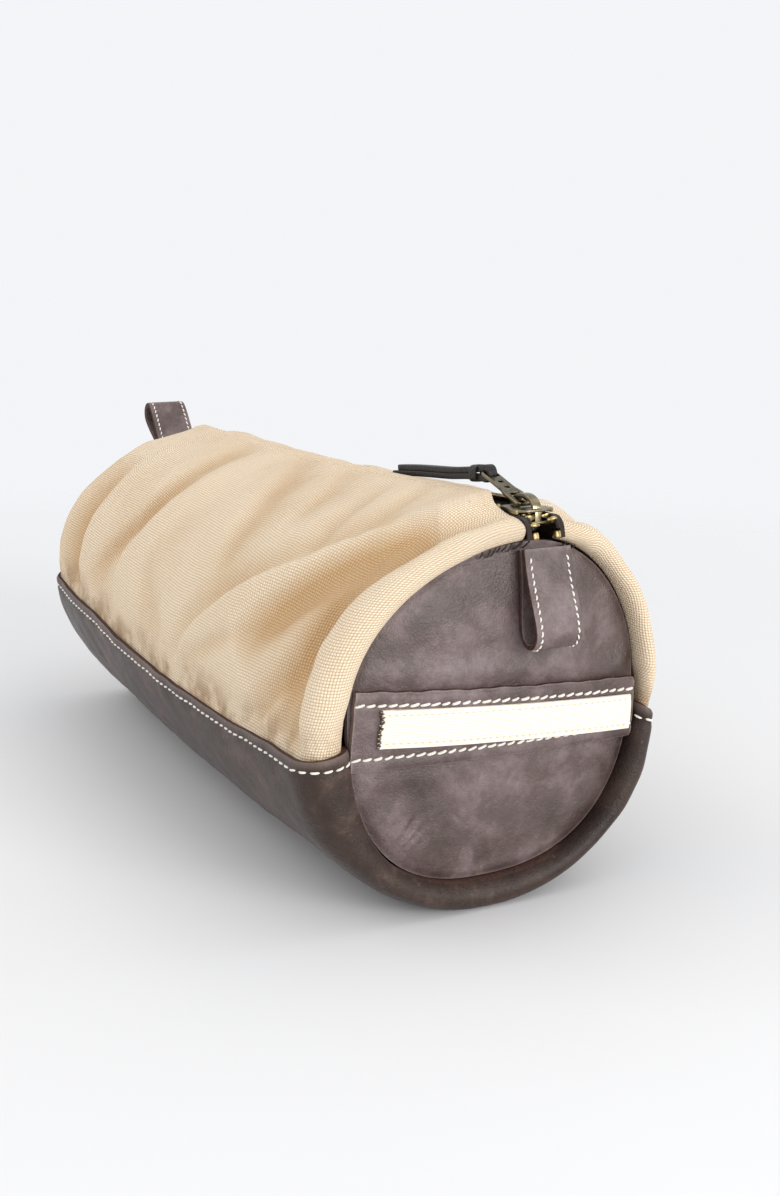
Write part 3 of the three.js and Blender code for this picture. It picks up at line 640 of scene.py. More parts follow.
def gunmetal_brass():
    s = Shader("blackened_brass", Metallic=1.0, Specular_IOR_Level=0.5)
    tarnish = s.noise(420, 4, 0.65)
    colour = s.mix(s.span(tarnish, 0.35, 0.65), srgb(58, 54, 48), srgb(104, 96, 80))
    colour = s.mix(s.edges(0.51, 0.6), colour, srgb(196, 182, 142))
    rough = s.span(tarnish, 0.3, 0.7, 0.22, 0.4)
    return s.set(Base_Color=colour, Roughness=rough, Normal=s.bump(s.noise(1300, 3), 0.03, 0.6))


def thread(name, dark, light):
    s = Shader(name, 0.75, Specular_IOR_Level=0.25, Sheen_Weight=0.2)
    twist = s.noise(1.0, 2, 0.5, vector=s.stretch((1500, 2600, 2600), turn=(0.6, 0.5, 0.4)))
    colour = s.mix(s.span(twist, 0.35, 0.65), dark, light)
    return s.set(Base_Color=colour, Normal=s.bump(twist, 0.1, 0.8))


def pale_floor():
    """A pale table that fades into the bright surroundings."""
    s = Shader("pale_floor", 0.6, Specular_IOR_Level=0.2)
    distance = s.add("ShaderNodeVectorMath", operation="LENGTH")
    s.tree.links.new(s.object, distance.inputs[0])
    s.set(Base_Color=s.mix(s.noise(5, 2), srgb(224, 224, 223), srgb(228, 228, 228)))
    clear, blend = s.add("ShaderNodeBsdfTransparent"), s.add("ShaderNodeMixShader")
    fade_start, fade_end = 0.36, 0.72  # metres from the middle of the bag
    s.feed(blend.inputs[0], s.span(distance.outputs["Value"], fade_start, fade_end))
    s.tree.links.new(s.surface.outputs[0], blend.inputs[1])
    s.tree.links.new(clear.outputs[0], blend.inputs[2])
    s.tree.links.new(blend.outputs[0], s.tree.nodes["Material Output"].inputs["Surface"])
    return s.material


# The trough leather is browner than the end leather. Its tones are also set darker all over as painted shade,
# for the trough that sits low and gets little light.
TROUGH_LEATHER = oiled_leather(
    "trough_oiled_leather",
    dark=srgb(36, 24, 18),
    middle=srgb(66, 49, 40),
    light=srgb(106, 87, 78),
    edge=srgb(150, 130, 122),
    lift=0.53,
    shine=0.32,
)
END_LEATHER = oiled_leather(
    "end_oiled_leather",
    dark=srgb(60, 45, 40),
    middle=srgb(98, 81, 78),
    light=srgb(132, 116, 116),
    edge=srgb(160, 141, 136),
    lift=0.5,
    shine=0.55,
)
THONG_LEATHER = oiled_leather(
    "thong_waxed_leather",
    dark=srgb(14, 9, 7),
    middle=srgb(26, 18, 15),
    light=srgb(48, 37, 32),
    edge=srgb(80, 66, 60),
    lift=0.55,
    shine=0.35,
)
RAW_EDGE = raw_edge_leather()
DUCK = duck_canvas()
WEBBING = cotton_webbing()
ZIPPER_CLOTH = zipper_cloth()
BRASS = antique_brass()
BLACKENED = gunmetal_brass()
WHITE_THREAD = thread("white_thread", srgb(214, 206, 194), srgb(248, 243, 234))
CREAM_THREAD = thread("cream_thread", srgb(206, 178, 138), srgb(238, 216, 182))
DARK_THREAD = thread("dark_thread", srgb(28, 22, 19), srgb(62, 50, 44))

# ---------------------------------------------------------------- creases

CANVAS_ARC = 130  # from the leather seam to the ridge, over the front canvas


def crease(x, up, line, depth, widths):
    """A fold along a line of (x, share of the way up): widths are on its left and its right side."""
    best = np.full(x.shape, 1e9)
    beside = np.zeros(x.shape)
    along = np.zeros(x.shape)
    line = np.array([(a, b * CANVAS_ARC) for a, b in line], float)
    steps = np.linalg.norm(np.diff(line, axis=0), axis=1)
    starts = np.concatenate([[0], np.cumsum(steps)])
    v = up * CANVAS_ARC
    for a, b, length, start in zip(line[:-1], line[1:], steps, starts):
        ahead = (b - a) / length
        t = np.clip((x - a[0]) * ahead[0] + (v - a[1]) * ahead[1], 0, length)
        dx, dv = x - a[0] - t * ahead[0], v - a[1] - t * ahead[1]
        distance = np.hypot(dx, dv)
        nearer = distance < best
        best = np.where(nearer, distance, best)
        beside = np.where(nearer, dx * ahead[1] - dv * ahead[0], beside)
        along = np.where(nearer, start + t, along)
    share = along / starts[-1]
    ends = np.clip(np.sin(np.pi * np.clip(share, 0.0, 1.0)), 0, 1) ** 0.6
    width = np.where(beside > 0, widths[1], widths[0])
    return depth * ends * bell(best, width)


# Folds of the front canvas, from the seam (0) up to the ridge (1); a negative depth is a hollow.
FRONT_CREASES = [
    ([(92, -0.1), (116, 0.12), (132, 0.23), (135, 0.36), (126, 0.62)], -3.4, (9, 4)),
    ([(142, -0.14), (138, 0.17), (135, 0.32), (136, 0.5), (140, 0.66), (142, 0.95)], -5.0, (13, 3.6)),
    ([(84, 0.2), (104, 0.4), (118, 0.56), (134, 0.78)], -7.0, (15, 12)),
    ([(36, 0.2), (66, 0.34), (96, 0.52), (118, 0.7), (126, 0.92)], 3.6, (7, 9)),
    ([(22, 0.05), (34, 0.21), (56, 0.36), (90, 0.52), (114, 0.74)], -3.0, (10, 3.5)),
    ([(68, 0.92), (82, 0.74), (90, 0.54)], -1.8, (4, 7)),
    ([(88, 0.97), (98, 0.82), (106, 0.68)], -1.5, (4, 4)),
    ([(-24, 0.97), (6, 0.78), (24, 0.62), (42, 0.34)], -3.0, (12, 5)),
    ([(18, 0.98), (44, 0.8), (64, 0.6)], -1.7, (8, 4)),
    ([(-78, 0.96), (-66, 0.62), (-66, 0.42), (-90, 0.1)], -4.6, (14, 6)),
    ([(-44, 0.94), (-38, 0.6), (-52, 0.25)], 2.6, (12, 13)),
    ([(-130, 0.66), (-124, 0.3), (-113, -0.12)], -5.0, (7, 13)),
    ([(94, 0.3), (64, 0.2), (34, 0.08)], -1.6, (5, 4)),
    ([(14, 0.12), (-12, 0.2), (-36, 0.36)], -1.3, (8, 5)),
    ([(120, 0.02), (127, 0.1), (133, 0.2)], -1.2, (4, 3)),
]
BACK_CREASES = [
    ([(139, -0.1), (137, 0.3), (139, 0.6), (141, 0.9)], -2.4, (10, 3.5)),
    ([(80, 0.1), (102, 0.36), (124, 0.7)], -3.4, (13, 10)),
    ([(30, 0.1), (62, 0.34), (96, 0.6), (114, 0.84)], -1.5, (9, 4)),
    ([(-20, 0.9), (0, 0.6), (12, 0.3)], -1.4, (9, 5)),
    ([(-84, 0.1), (-66, 0.42), (-74, 0.86)], -2.2, (12, 6)),
    ([(-118, 0.0), (-128, 0.5)], -2.6, (10, 6)),
]


def canvas_lift(x, up, creases, seed):
    """How far the canvas stands off its plain shape."""
    lift = sum(crease(x, up, line, depth, widths) for line, depth, widths in creases)
    lift = lift + 0.45 * wander(x, up * CANVAS_ARC, 26, seed) + 0.12 * wander(x, up * CANVAS_ARC, 7, seed + 1)
    return lift


# ---------------------------------------------------------------- sewn sheets

END_TUCK = -0.5


def stations(body_steps, rim_steps):
    rim = np.linspace(END_TUCK, 1, rim_steps + 1)
    return np.concatenate([rim, np.linspace(1, 2, body_steps + 1)[1:-1], (3 - rim)[::-1]])


def canvas_panel(front):
    sign = 1 if front else -1
    place = stations(230, 22)[:, None]
    across = np.linspace(0, 1, 121)[None, :]  # 0 at the lower edge, under the leather
    under = OVERLAP / SEAM_HEIGHT
    low = np.pi + under if front else -under
    edge = beside_ridge(place, sign * (opening(place) - 0.3))
    angle = lerp(low, edge, across)
    up = (np.pi - angle if front else angle) / (np.pi / 2)
    x = surface_point(place, angle)[..., 0]
    inset = lerp(LEATHER + GAP, CANVAS_INSET, smooth((across - 0.09) / 0.16))
    lift = canvas_lift(x, up, FRONT_CREASES if front else BACK_CREASES, 11 if front else 23)
    free = smooth((across - 0.07) / 0.1) * smooth((1 - across) / 0.05)
    roll = np.minimum(place, 3 - place)
    on_body = smooth((roll - 0.35) / 0.55)
    puff = 1.3 * bell(roll - 0.55, 0.35) * free * smooth((0.86 - up) / 0.14)
    from_edge = (1 - across) * CANVAS_ARC
    reach = smooth((134 - x) / 12)  # the front edge stands up along the zipper, and the back one lies low
    far = smooth((-60 - x) / 50)
    welt = (lerp(1.9, 2.6, far) if front else lerp(-0.6, -1.3, far)) * reach * bell(from_edge, 9)
    stitch_dip = -0.35 * bell(from_edge - HEM_FROM_EDGE, 1.1) * smooth((roll - 0.9) / 0.1)
    relief = lift * free * on_body
    height = -inset + relief + puff + welt + stitch_dip
    normal = surface_normal(place, angle)
    base = surface_point(place, angle)
    outer = base + normal * height[..., None]
    inner = base + normal * (height - CANVAS)[..., None]
    if not front:
        outer, inner, relief = outer[::-1], inner[::-1], relief[::-1]
    which = "front" if front else "back"
    points, faces = shell(outer, inner)
    # The fold relief goes into the cut attribute, from which the canvas material paints shade into the
    # hollows.
    cut = cut_of(outer, relief)
    piece = make("canvas_" + which, points, faces, DUCK, "bag", ("canvas_panel_" + which,), cut)
    hem_row = np.argmin(np.abs(from_edge[0] - HEM_FROM_EDGE))
    middle = roll[:, 0] > 0.75
    line = (outer if front else outer[::-1])[middle, hem_row]
    normals = normal[middle, hem_row]
    run_of_stitches("hem_stitches_" + which, line, normals, CREAM_THREAD, HEM_STITCH)
    return piece


def run_of_stitches(name, line, normals, material, stitch, tilt=0.0, body="bag", slot="webbing", at=None):
    """A row of stitches along a line, each a short plump thread; tilt slants them, in degrees."""
    draw = random.Random(name)
    pitch, length, radius = stitch
    jitter, sink = 0.1, 0.25
    where = resample(line, pitch)
    centre = pick(line, where)
    normal = unit(pick(normals, where))
    ahead = unit(pick(np.gradient(line, axis=0), where))
    aside = unit(np.cross(normal, ahead))
    rings, sides = 7, 8
    s = np.linspace(-1, 1, rings)
    phase = np.arange(sides) * 2 * np.pi / sides
    parts = []
    for c, n, a, b in zip(centre, normal, ahead, aside):
        slant = math.radians(tilt + draw.uniform(-1, 1) * 60 * jitter)
        along = a * math.cos(slant) + b * math.sin(slant)
        cross = b * math.cos(slant) - a * math.sin(slant)
        size = radius * (1 + draw.uniform(-1, 1) * jitter)
        reach = length / 2 * (1 + draw.uniform(-1, 1) * jitter)
        thick = size * np.sqrt(np.maximum(1 - s**4, 0.02))
        rise = size * (0.75 - 1.1 * s**2) - sink * size
        spine = c + along * (s * reach)[:, None] + n * rise[:, None]
        ring = cross * np.cos(phase)[:, None] + n * np.sin(phase)[:, None]
        points = spine[:, None] + ring[None] * thick[:, None, None]
        parts.append((points.reshape(-1, 3), tube_faces(rings, sides)))
    points, faces = joined(parts)
    return make(name, points, faces, material, body, at=at, sharp=80)


def seam_wave(x):
    """The leather's cut edge wavers a little along the bag."""
    return 0.5 * np.sin(x / 31 + 0.6) + 0.2 * np.sin(x / 11)


def trough():
    place = stations(200, 24)[:, None]
    share = np.linspace(0, 1, 161)[None, :]
    angle = lerp(np.pi, 2 * np.pi, share)
    x = surface_point(place, angle)[..., 0]
    edge_shift = seam_wave(x[:, :1]) / SEAM_HEIGHT
    roll = np.minimum(place, 3 - place)
    calm = smooth((roll - 0.2) / 0.8)
    near_front, near_back = smooth((0.12 - share) / 0.12), smooth((share - 0.88) / 0.12)
    angle = angle + edge_shift * calm * (near_front + near_back)
    arc = share * np.pi * 68
    low = smooth((surface_point(place, angle)[..., 2] - 6) / 14)
    height = 0.5 * wander(x, arc, 34, 5) + 0.14 * wander(x, arc, 9, 6)
    height = height * low * (0.35 + 0.65 * calm)
    edge = np.minimum(share, 1 - share) * np.pi * 68
    groove = -0.45 * bell(edge - SEAM_FROM_EDGE, 1.0) * smooth((roll + 0.1) / 0.2)
    burnish = -0.7 * bell(edge, 0.7)
    base, normal = surface_point(place, angle), surface_normal(place, angle)
    outer = base + normal * (height + groove + burnish)[..., None]
    inner = base + normal * (height - LEATHER)[..., None]
    outer[..., 2] = np.maximum(outer[..., 2], 0.02)
    inner[..., 2] = np.maximum(inner[..., 2], LEATHER)
    points, faces = shell(outer, inner)
    sheet = make("leather_trough", points, faces, TROUGH_LEATHER, "bag", ("bottom_panel",))
    raw_faces(sheet, lambda normal: normal.z > 0.9)
    keep = roll[:, 0] > 0.03
    front_row = np.argmin(np.abs(edge[0, : edge.shape[1] // 2] - SEAM_FROM_EDGE))
    back_row = edge.shape[1] - 1 - front_row
    for name, row, slant in (("front", front_row, 6), ("back", back_row, -6)):
        line, out = outer[keep, row], normal[keep, row]
        name = "trough_stitches_" + name
        run_of_stitches(name, line, out, WHITE_THREAD, TROUGH_STITCH, slant, slot="trough_leather")


# ---------------------------------------------------------------- end panels

PANEL_FACE = HALF - RIM_FRONT


def panel_bulge(share, angle):
    return PANEL_BULGE * (1 - share**2) * (0.75 + 0.25 * share * np.sin(angle))


def panel_edge(side, angle):
    y, z = panel_point(side, angle)
    inside = 1 - 1.4 * GAP / panel_outline(side)["front"]
    return y * inside, (z - PANEL_MIDDLE) * inside


def panel_share(side, y, z):
    edge_y, edge_z = panel_edge(side, np.arctan2(z - PANEL_MIDDLE, y))
    return np.hypot(y, z - PANEL_MIDDLE) / np.hypot(edge_y, edge_z)


# Wrinkles of an end panel: from (y, z) to (y, z), with a depth and a width.
PANEL_WRINKLES = [
    ((-41, 23), (-27, 39), -1.3, 1.2),
    ((-37.5, 22), (-23.5, 36), -1.1, 1.1),
    ((-34, 21.5), (-24, 31), -0.8, 1.0),
    ((-43, 27), (-33, 40), -0.8, 1.1),
    ((-47, 40), (-20, 20), 1.1, 9),
    ((30, 22), (52, 44), 0.8, 9),
    ((-10, 96), (-42, 104), 0.9, 10),
    ((20, 20), (-6, 16), -0.5, 4),
]


def panel_relief(side, y, z):
    """Dents, wrinkles and puffs of the panel's leather."""
    relief = 0.45 * wander(y, z, 30, 31 + side) + 0.1 * wander(y, z, 8, 41 + side)
    for start, end, depth, width in PANEL_WRINKLES:
        a, b = np.array(start, float), np.array(end, float)
        length = np.linalg.norm(b - a)
        ahead = (b - a) / length
        t = np.clip((y - a[0]) * ahead[0] + (z - a[1]) * ahead[1], 0, length)
        distance = np.hypot(y - a[0] - t * ahead[0], z - a[1] - t * ahead[1])
        taper = np.maximum(np.sin(np.pi * t / length), 0) ** 0.5
        relief = relief + depth * bell(distance, width) * taper
    band_top = lerp(BAND_FRONT[1], BAND_BACK[1], (y + 50) / 110)
    band_low = lerp(BAND_FRONT[0], BAND_BACK[0], (y + 50) / 110)
    under = smooth((z - band_low + 2) / 4) * smooth((band_top + 2 - z) / 4)
    relief = lerp(relief, -0.25, under)
    relief = relief + 1.2 * bell(z - band_top - 5, 4) + 0.7 * bell(z - band_low + 5, 4)
    return relief


def panel_surface_at(side, y, z, out):
    share = panel_share(side, y, z)
    bulge = panel_bulge(share, np.arctan2(z - PANEL_MIDDLE, y))
    x = side * (PANEL_FACE + bulge + out)
    return np.stack(np.broadcast_arrays(x, y, z), -1)


def end_panel(name, side):
    share = np.linspace(0.004, 1, 64)[:, None]
    angle = (np.arange(200) * 2 * np.pi / 200)[None, :]
    edge_y, edge_z = panel_edge(side, angle)
    y, z = edge_y * share, edge_z * share + PANEL_MIDDLE
    calm = smooth((1 - share) / 0.12)
    x = PANEL_FACE + panel_bulge(share, angle) + panel_relief(side, y, z) * calm
    x = x - 0.8 * smooth((share - 0.95) / 0.05)
    outer = np.stack(np.broadcast_arrays(side * x, y, z), -1)
    inner = outer - np.array([side * LEATHER, 0, 0])
    points, faces = shell(outer, inner, ring=True)
    make("panel_" + name, points, faces, END_LEATHER, "bag", ("end_panel_" + name,))


def panel_reach(side, z, towards):
    low, high = np.zeros_like(z), np.full_like(z, HALF_WIDTH)
    for _ in range(24):
        y = (low + high) / 2
        inside = panel_share(side, towards * y, z) < 1
        low, high = np.where(inside, y, low), np.where(inside, high, y)
    return low


def strip_grid(side, front_z, back_z, margins, columns, rows):
    """y and z over a strip, column by column from its front end to its back end."""
    along = np.linspace(0, 1, columns)[:, None]
    across = np.linspace(0, 1, rows)[None, :]
    z = lerp(lerp(front_z[0], back_z[0], along), lerp(front_z[1], back_z[1], along), across)
    front = -panel_reach(side, z, -1) + margins[0]
    back = panel_reach(side, z, 1) - margins[1]
    return lerp(front, back, along), z, along, across


def end_band(name, side):
    y, z, along, across = strip_grid(side, BAND_FRONT, BAND_BACK, (BAND_MARGIN, BAND_MARGIN), 150, 41)
    width = lerp(BAND_FRONT[1] - BAND_FRONT[0], BAND_BACK[1] - BAND_BACK[0], along)
    edge = np.minimum(across, 1 - across) * width
    round_off = -0.75 * bell(edge, 0.8)
    groove = -0.4 * bell(edge - BAND_SEAM_FROM_EDGE, 0.9)
    hollow = -0.5 * np.exp(-((np.abs(across - 0.5) / 0.3) ** 4))
    crack = -0.5 * bell(y + 37 - (z - 78) * 0.8, 0.5) * smooth((z - 79) / 2)
    uneven = 0.25 * wander(y, z, 16, 51 + side)
    height = GAP + LEATHER + round_off + groove + hollow + crack + uneven * smooth(edge / 3)
    ragged = 0.12 * np.sin(y * 0.7) + 0.15 * np.sin(y * 0.27 + 1)
    z_edge = z + ragged * np.where(across > 0.5, 1, -1) * smooth((2 - edge) / 2)
    outer = panel_surface_at(side, y, z_edge, height)
    inner = panel_surface_at(side, y, z_edge, GAP - 0.15)
    points, faces = shell(outer, inner)
    band = make("band_" + name, points, faces, END_LEATHER, "bag", ("end_band_" + name,))
    raw_faces(band, lambda normal: abs(normal.z) > 0.75)
    out = np.broadcast_to(np.array([float(side), 0, 0]), outer[:, 0].shape)
    from_low = BAND_SEAM_FROM_EDGE / width[:, 0]
    slant = 15 * side
    for row_name, shares in (("upper", 1 - from_low), ("lower", from_low)):
        at = shares * (outer.shape[1] - 1)
        line = np.array([pick(row, np.array([where]))[0] for row, where in zip(outer, at)])
        row_name = f"band_stitches_{row_name}_{name}"
        run_of_stitches(row_name, line, out, WHITE_THREAD, BAND_STITCH, slant, slot="end_leather")


def webbing_strip(name, side):
    margins = (WEBBING_START, WEBBING_STOP)
    y, z, along, across = strip_grid(side, WEBBING_FRONT, WEBBING_BACK, margins, 140, 25)
    width = WEBBING_FRONT[1] - WEBBING_FRONT[0]
    edge = np.minimum(across, 1 - across) * width
    plump = -0.35 * bell(edge, 0.9)
    sewn = -0.25 * bell(edge - 1.7, 0.6)
    ripple = 0.12 * wander(y, z, 12, 61 + side)
    draw = random.Random(7)
    ragged = np.array([draw.uniform(-0.6, 0.6) for _ in range(25)])[None, :]
    y = y + ragged * np.exp(-(along * 40) ** 2)
    lift = GAP + LEATHER + GAP
    outer = panel_surface_at(side, y, z, lift + WEBBING_THICK + plump + sewn + ripple)
    inner = panel_surface_at(side, y, z, lift - 0.35)
    points, faces = shell(outer, inner)
    node = "webbing_strip_" + name
    make("webbing_" + name, points, faces, WEBBING, "bag", (node,), cut_of(outer))
    out = np.broadcast_to(np.array([float(side), 0, 0]), outer[:, 0].shape)
    for row_name, share in (("upper", 0.86), ("lower", 0.14)):
        line = outer[2:-2, int(round(share * (outer.shape[1] - 1)))]
        row_name = f"webbing_stitches_{row_name}_{name}"
        run_of_stitches(row_name, line, out[2:-2], CREAM_THREAD, WEBBING_STITCH)
    frayed = []
    for k in range(9):
        share = (k + 0.5) / 9
        start = pick(outer[0], np.array([share * (outer.shape[1] - 1)]))[0]
        reach, sag = draw.uniform(0.3, 1.0), draw.uniform(-0.5, 0.5)
        t = np.linspace(-0.5, 1, 7)[:, None]
        curl = np.array([[side * -0.5, -reach, sag]]) * np.hstack([t * 0.6, t, t**2])
        fibre = start - np.array([side * 0.35, 0, 0]) + curl
        frayed.append(strap(fibre, (0, 0, 1), 0.28, 0.24, 1.0, count=6))
    points, faces = joined(frayed)
    make("webbing_fray_" + name, points, faces, CREAM_THREAD, "bag")


# ---------------------------------------------------------------- zipper

YAW = math.atan((RIDGE_BACK_RIGHT - RIDGE_BACK_LEFT) / BODY_LENGTH)
PITCH = math.atan(CHAIN_SLOPE)


def chain_height(x):
    return CHAIN_HEIGHT + CHAIN_SLOPE * (x - SLIDER_X)


def chain_line():
    """The chain's middle line from the right end, its way out of the bag and the distance run."""
    turns = np.linspace(math.radians(BEND_TURN), -PITCH, 17)
    x = CHAIN_X[1] + BEND_RADIUS * (np.sin(turns) + math.sin(PITCH))
    z = chain_height(CHAIN_X[1]) - BEND_RADIUS * (math.cos(PITCH) - np.cos(turns))
    x = np.concatenate([[x[0] + BEND_TAIL * math.cos(turns[0])], x, [CHAIN_X[0]]])
    z = np.concatenate([[z[0] - BEND_TAIL * math.sin(turns[0])], z, [chain_height(CHAIN_X[0])]])
    turns = np.concatenate([[turns[0]], turns, [-PITCH]])
    points = np.stack([x, ridge_back(x), z], -1)
    out = np.stack([np.sin(turns), np.zeros_like(turns), np.cos(turns)], -1)
    return points, out, run_along(points, 0)


CHAIN_POINTS, CHAIN_OUT, CHAIN_RUN = chain_line()
CHAIN_LENGTH = CHAIN_RUN[-1]
ACROSS = np.array([math.sin(YAW), -math.cos(YAW), 0])


def chain_frame(run):
    where = np.interp(run, CHAIN_RUN, np.arange(len(CHAIN_RUN)))
    return pick(CHAIN_POINTS, where), unit(pick(CHAIN_OUT, where))


def spread(run):
    x = chain_frame(run)[0][:, 0]
    tail = SLIDER_X - SLIDER_LENGTH / 2
    post = SLIDER_X + SLIDER_LENGTH / 2 - POST_LENGTH - 1
    return ROW_SPREAD * smooth((x - tail) / (post - tail))


def runs(start, end, bend_step=0.6, straight_step=6):
    bend_end = CHAIN_RUN[-2] + 26
    bend, straight = np.arange(start, bend_end, bend_step), np.arange(bend_end, end, straight_step)
    return np.concatenate([bend, straight, [end]])


CHAIN_MARGIN = STOP_LENGTH + 3 * GAP


def zipper_tape(name, sign):
    run = runs(0, CHAIN_LENGTH)
    middle, out = chain_frame(run)
    x = middle[:, 0]
    inner_side = CORD_OUT + TAPE_GAP - 0.9 + spread(run)
    wide = smooth((x - OPENING_X[0]) / (OPENING_X[1] - OPENING_X[0]))
    outer_side = np.maximum(lerp(TAPE_WIDE, TAPE_NARROW, wide), inner_side + 1)
    share = np.linspace(0, 1, 9)
    across = lerp(inner_side[:, None], outer_side[:, None], share[None, :])
    base = middle[:, None] + sign * ACROSS * across[..., None]
    ripple = 0.1 * np.sin(run / 3.1)[:, None] * share[None, :]
    top = base + out[:, None] * (TAPE / 2 + ripple)[..., None]
    low = base + out[:, None] * (-TAPE / 2 + ripple)[..., None]
    if sign > 0:
        top, low = top[:, ::-1], low[:, ::-1]
    points, faces = shell(top, low)
    node = "zipper_tape_" + name
    make("tape_" + name, points, faces, ZIPPER_CLOTH, "bag", (node,), cut_of(top))


def tooth_shape():
    """One tooth with its cord side at across 1 and its tip at 0: along, across and out."""
    rows, sides = 9, 12
    s = np.linspace(0, 1, rows)
    profile = np.sin(np.pi * np.clip(s * 0.94 + 0.03, 0, 1)) ** 0.28
    half_along = TOOTH_WIDTH / 2 * profile * (0.72 + 0.28 * smooth((s - 0.15) / 0.3))
    half_out = TOOTH_THICK / 2 * profile * (0.62 + 0.38 * smooth((s - 0.2) / 0.35))
    a, b = rounded_section(0.45, sides)
    points = np.stack(
        [half_along[:, None] * a[None], np.repeat(s[:, None], sides, 1), half_out[:, None] * b[None]], -1
    )
    return points.reshape(-1, 3), tube_faces(rows, sides)


def zipper_teeth(name, sign):
    shape, shape_faces = tooth_shape()
    first = CHAIN_MARGIN + TOOTH_WIDTH + (0 if sign > 0 else TOOTH_PITCH / 2)
    run = np.arange(first, CHAIN_LENGTH - CHAIN_MARGIN - TOOTH_WIDTH, TOOTH_PITCH)
    middle, out = chain_frame(run)
    ahead = unit(np.cross(out, ACROSS))
    aside = spread(run)
    low, high = aside + TOOTH_TIP, aside + CORD_OUT + 0.1
    parts = []
    for m, o, f, a, b in zip(middle, out, ahead, low, high):
        across = a + shape[:, 1:2] * (b - a)
        parts.append((m + f * shape[:, 0:1] + sign * ACROSS * across + o * shape[:, 2:3], shape_faces))
    points, faces = joined(parts)
    make("teeth_" + name, points, faces, BRASS, "bag", ("zipper_teeth_" + name,))
    run = runs(CHAIN_MARGIN, CHAIN_LENGTH - CHAIN_MARGIN)
    middle, out = chain_frame(run)
    line = middle + sign * ACROSS * (spread(run) + (CORD_IN + CORD_OUT) / 2)[:, None]
    points, faces = strap(line, ACROSS, CORD_OUT - CORD_IN + 0.3, CORD_THICK, 0.8, count=12)
    cut = np.stack([np.repeat(run, 12), np.tile(np.arange(12) * 0.4, len(run))], -1)
    make("cord_" + name, points, faces, ZIPPER_CLOTH, "bag", cut=cut)


def stop(name, node, run_middle, low, high, thick):
    """A metal stop clamped on the chain."""
    run = np.full(1, run_middle)
    middle, out = chain_frame(run)
    ahead = np.cross(out[0], ACROSS)
    sides, rings = 20, 7
    a, b = rounded_section(0.4, sides)
    rows = np.linspace(-1, 1, rings)
    round_off = np.maximum(1 - np.abs(rows) ** 6, 0.1) ** 0.3
    points = []
    for s, r in zip(rows, round_off):
        across = (low + high) / 2 + s * (high - low) / 2
        centre = middle[0] + ACROSS * across
        half_long, half_thick = a * r * STOP_LENGTH / 2, b * r * thick / 2
        points.append(centre + ahead * half_long[:, None] + out[0] * half_thick[:, None])
    faces = tube_faces(rings, sides)
    make(name, np.concatenate(points), faces, BRASS, "bag", (node,))


# ---------------------------------------------------------------- slider and pull


def turn_y(angle):
    c, s = math.cos(angle), math.sin(angle)
    return np.array([[c, 0, s], [0, 1, 0], [-s, 0, c]])


def turn_z(angle):
    c, s = math.cos(angle), math.sin(angle)
    return np.array([[c, -s, 0], [s, c, 0], [0, 0, 1]])


TO_SLIDER = turn_z(YAW) @ turn_y(-PITCH)
SLIDER_AT = np.array([SLIDER_X, ridge_back(SLIDER_X), CHAIN_HEIGHT])
TO_PULLER = TO_SLIDER @ turn_y(math.pi + math.radians(PULLER_LIFT))
PULLER_AT = SLIDER_AT + TO_SLIDER @ np.array([0, 0, PLATE_OUT + PULLER_AXLE])
TO_THONG = TO_PULLER @ turn_y(-math.radians(PULLER_LIFT + THONG_DROOP))
THONG_AT = PULLER_AT + TO_PULLER @ np.array([(SLOT[1] + PULLER_LENGTH) / 2, 0, 0])


def slider():
    tail, nose = -SLIDER_LENGTH / 2, SLIDER_LENGTH / 2
    waist = nose - POST_LENGTH - 1
    shoulder = [(waist - 4, NOSE_HALF - 1.2), (waist, NOSE_HALF), (nose - 2, NOSE_HALF)]
    outline = rounded(mirrored([(tail, TAIL_HALF), *shoulder, (nose, 4.6)]), 1.6)
    parts = []
    for face in (1, -1):
        points, faces = plate([outline], PLATE, 0.3)
        parts.append((points + np.array([0, 0, face * (PLATE_IN + PLATE_OUT) / 2]), faces))
    lip_side = [(tail, TAIL_HALF), (waist, NOSE_HALF), (nose - 2.4, NOSE_HALF)]
    for hand in (1, -1):
        for face in (1, -1):
            lip = [(x, hand * y) for x, y in lip_side] + [(x, hand * (y - 1)) for x, y in lip_side[::-1]]
            points, faces = plate([rounded(lip, 0.4, 3)], 1.5, 0.25)
            parts.append((points + np.array([0, 0, face * 1.65]), faces))
    post_half, post_wide, post_end = 1.25, nose - 2.5, nose - 0.4
    wedge = [(post_wide, -post_half), (post_end, -post_half), (post_end, post_half), (post_wide, post_half)]
    wedge = rounded([(nose - POST_LENGTH, 0), *wedge], 0.3, 3)
    parts.append(plate([wedge], 2 * PLATE_OUT - 0.45, 0.12))
    points, faces = joined(parts)
    at = turned(TO_SLIDER, SLIDER_AT)
    make("slider", points, faces, BLACKENED, "slider", ("slider_body",), at=at)
    turn = np.linspace(0, np.pi, 25)
    outer = np.stack([CROWN_OUT[0] * np.cos(turn), CROWN_OUT[1] * np.sin(turn)], -1)
    inner = np.stack([CROWN_IN[0] * np.cos(turn), CROWN_IN[1] * np.sin(turn)], -1)[::-1]
    points, faces = plate([np.concatenate([outer, inner])], CROWN_WIDTH, 0.3)
    upright = np.array([[1, 0, 0], [0, 0, -1], [0, 1, 0]])
    points = points @ upright.T + np.array([0, 0, PLATE_OUT + GAP - 0.1])
    make("crown", points, faces, BLACKENED, "slider", ("slider_crown",), at=at)


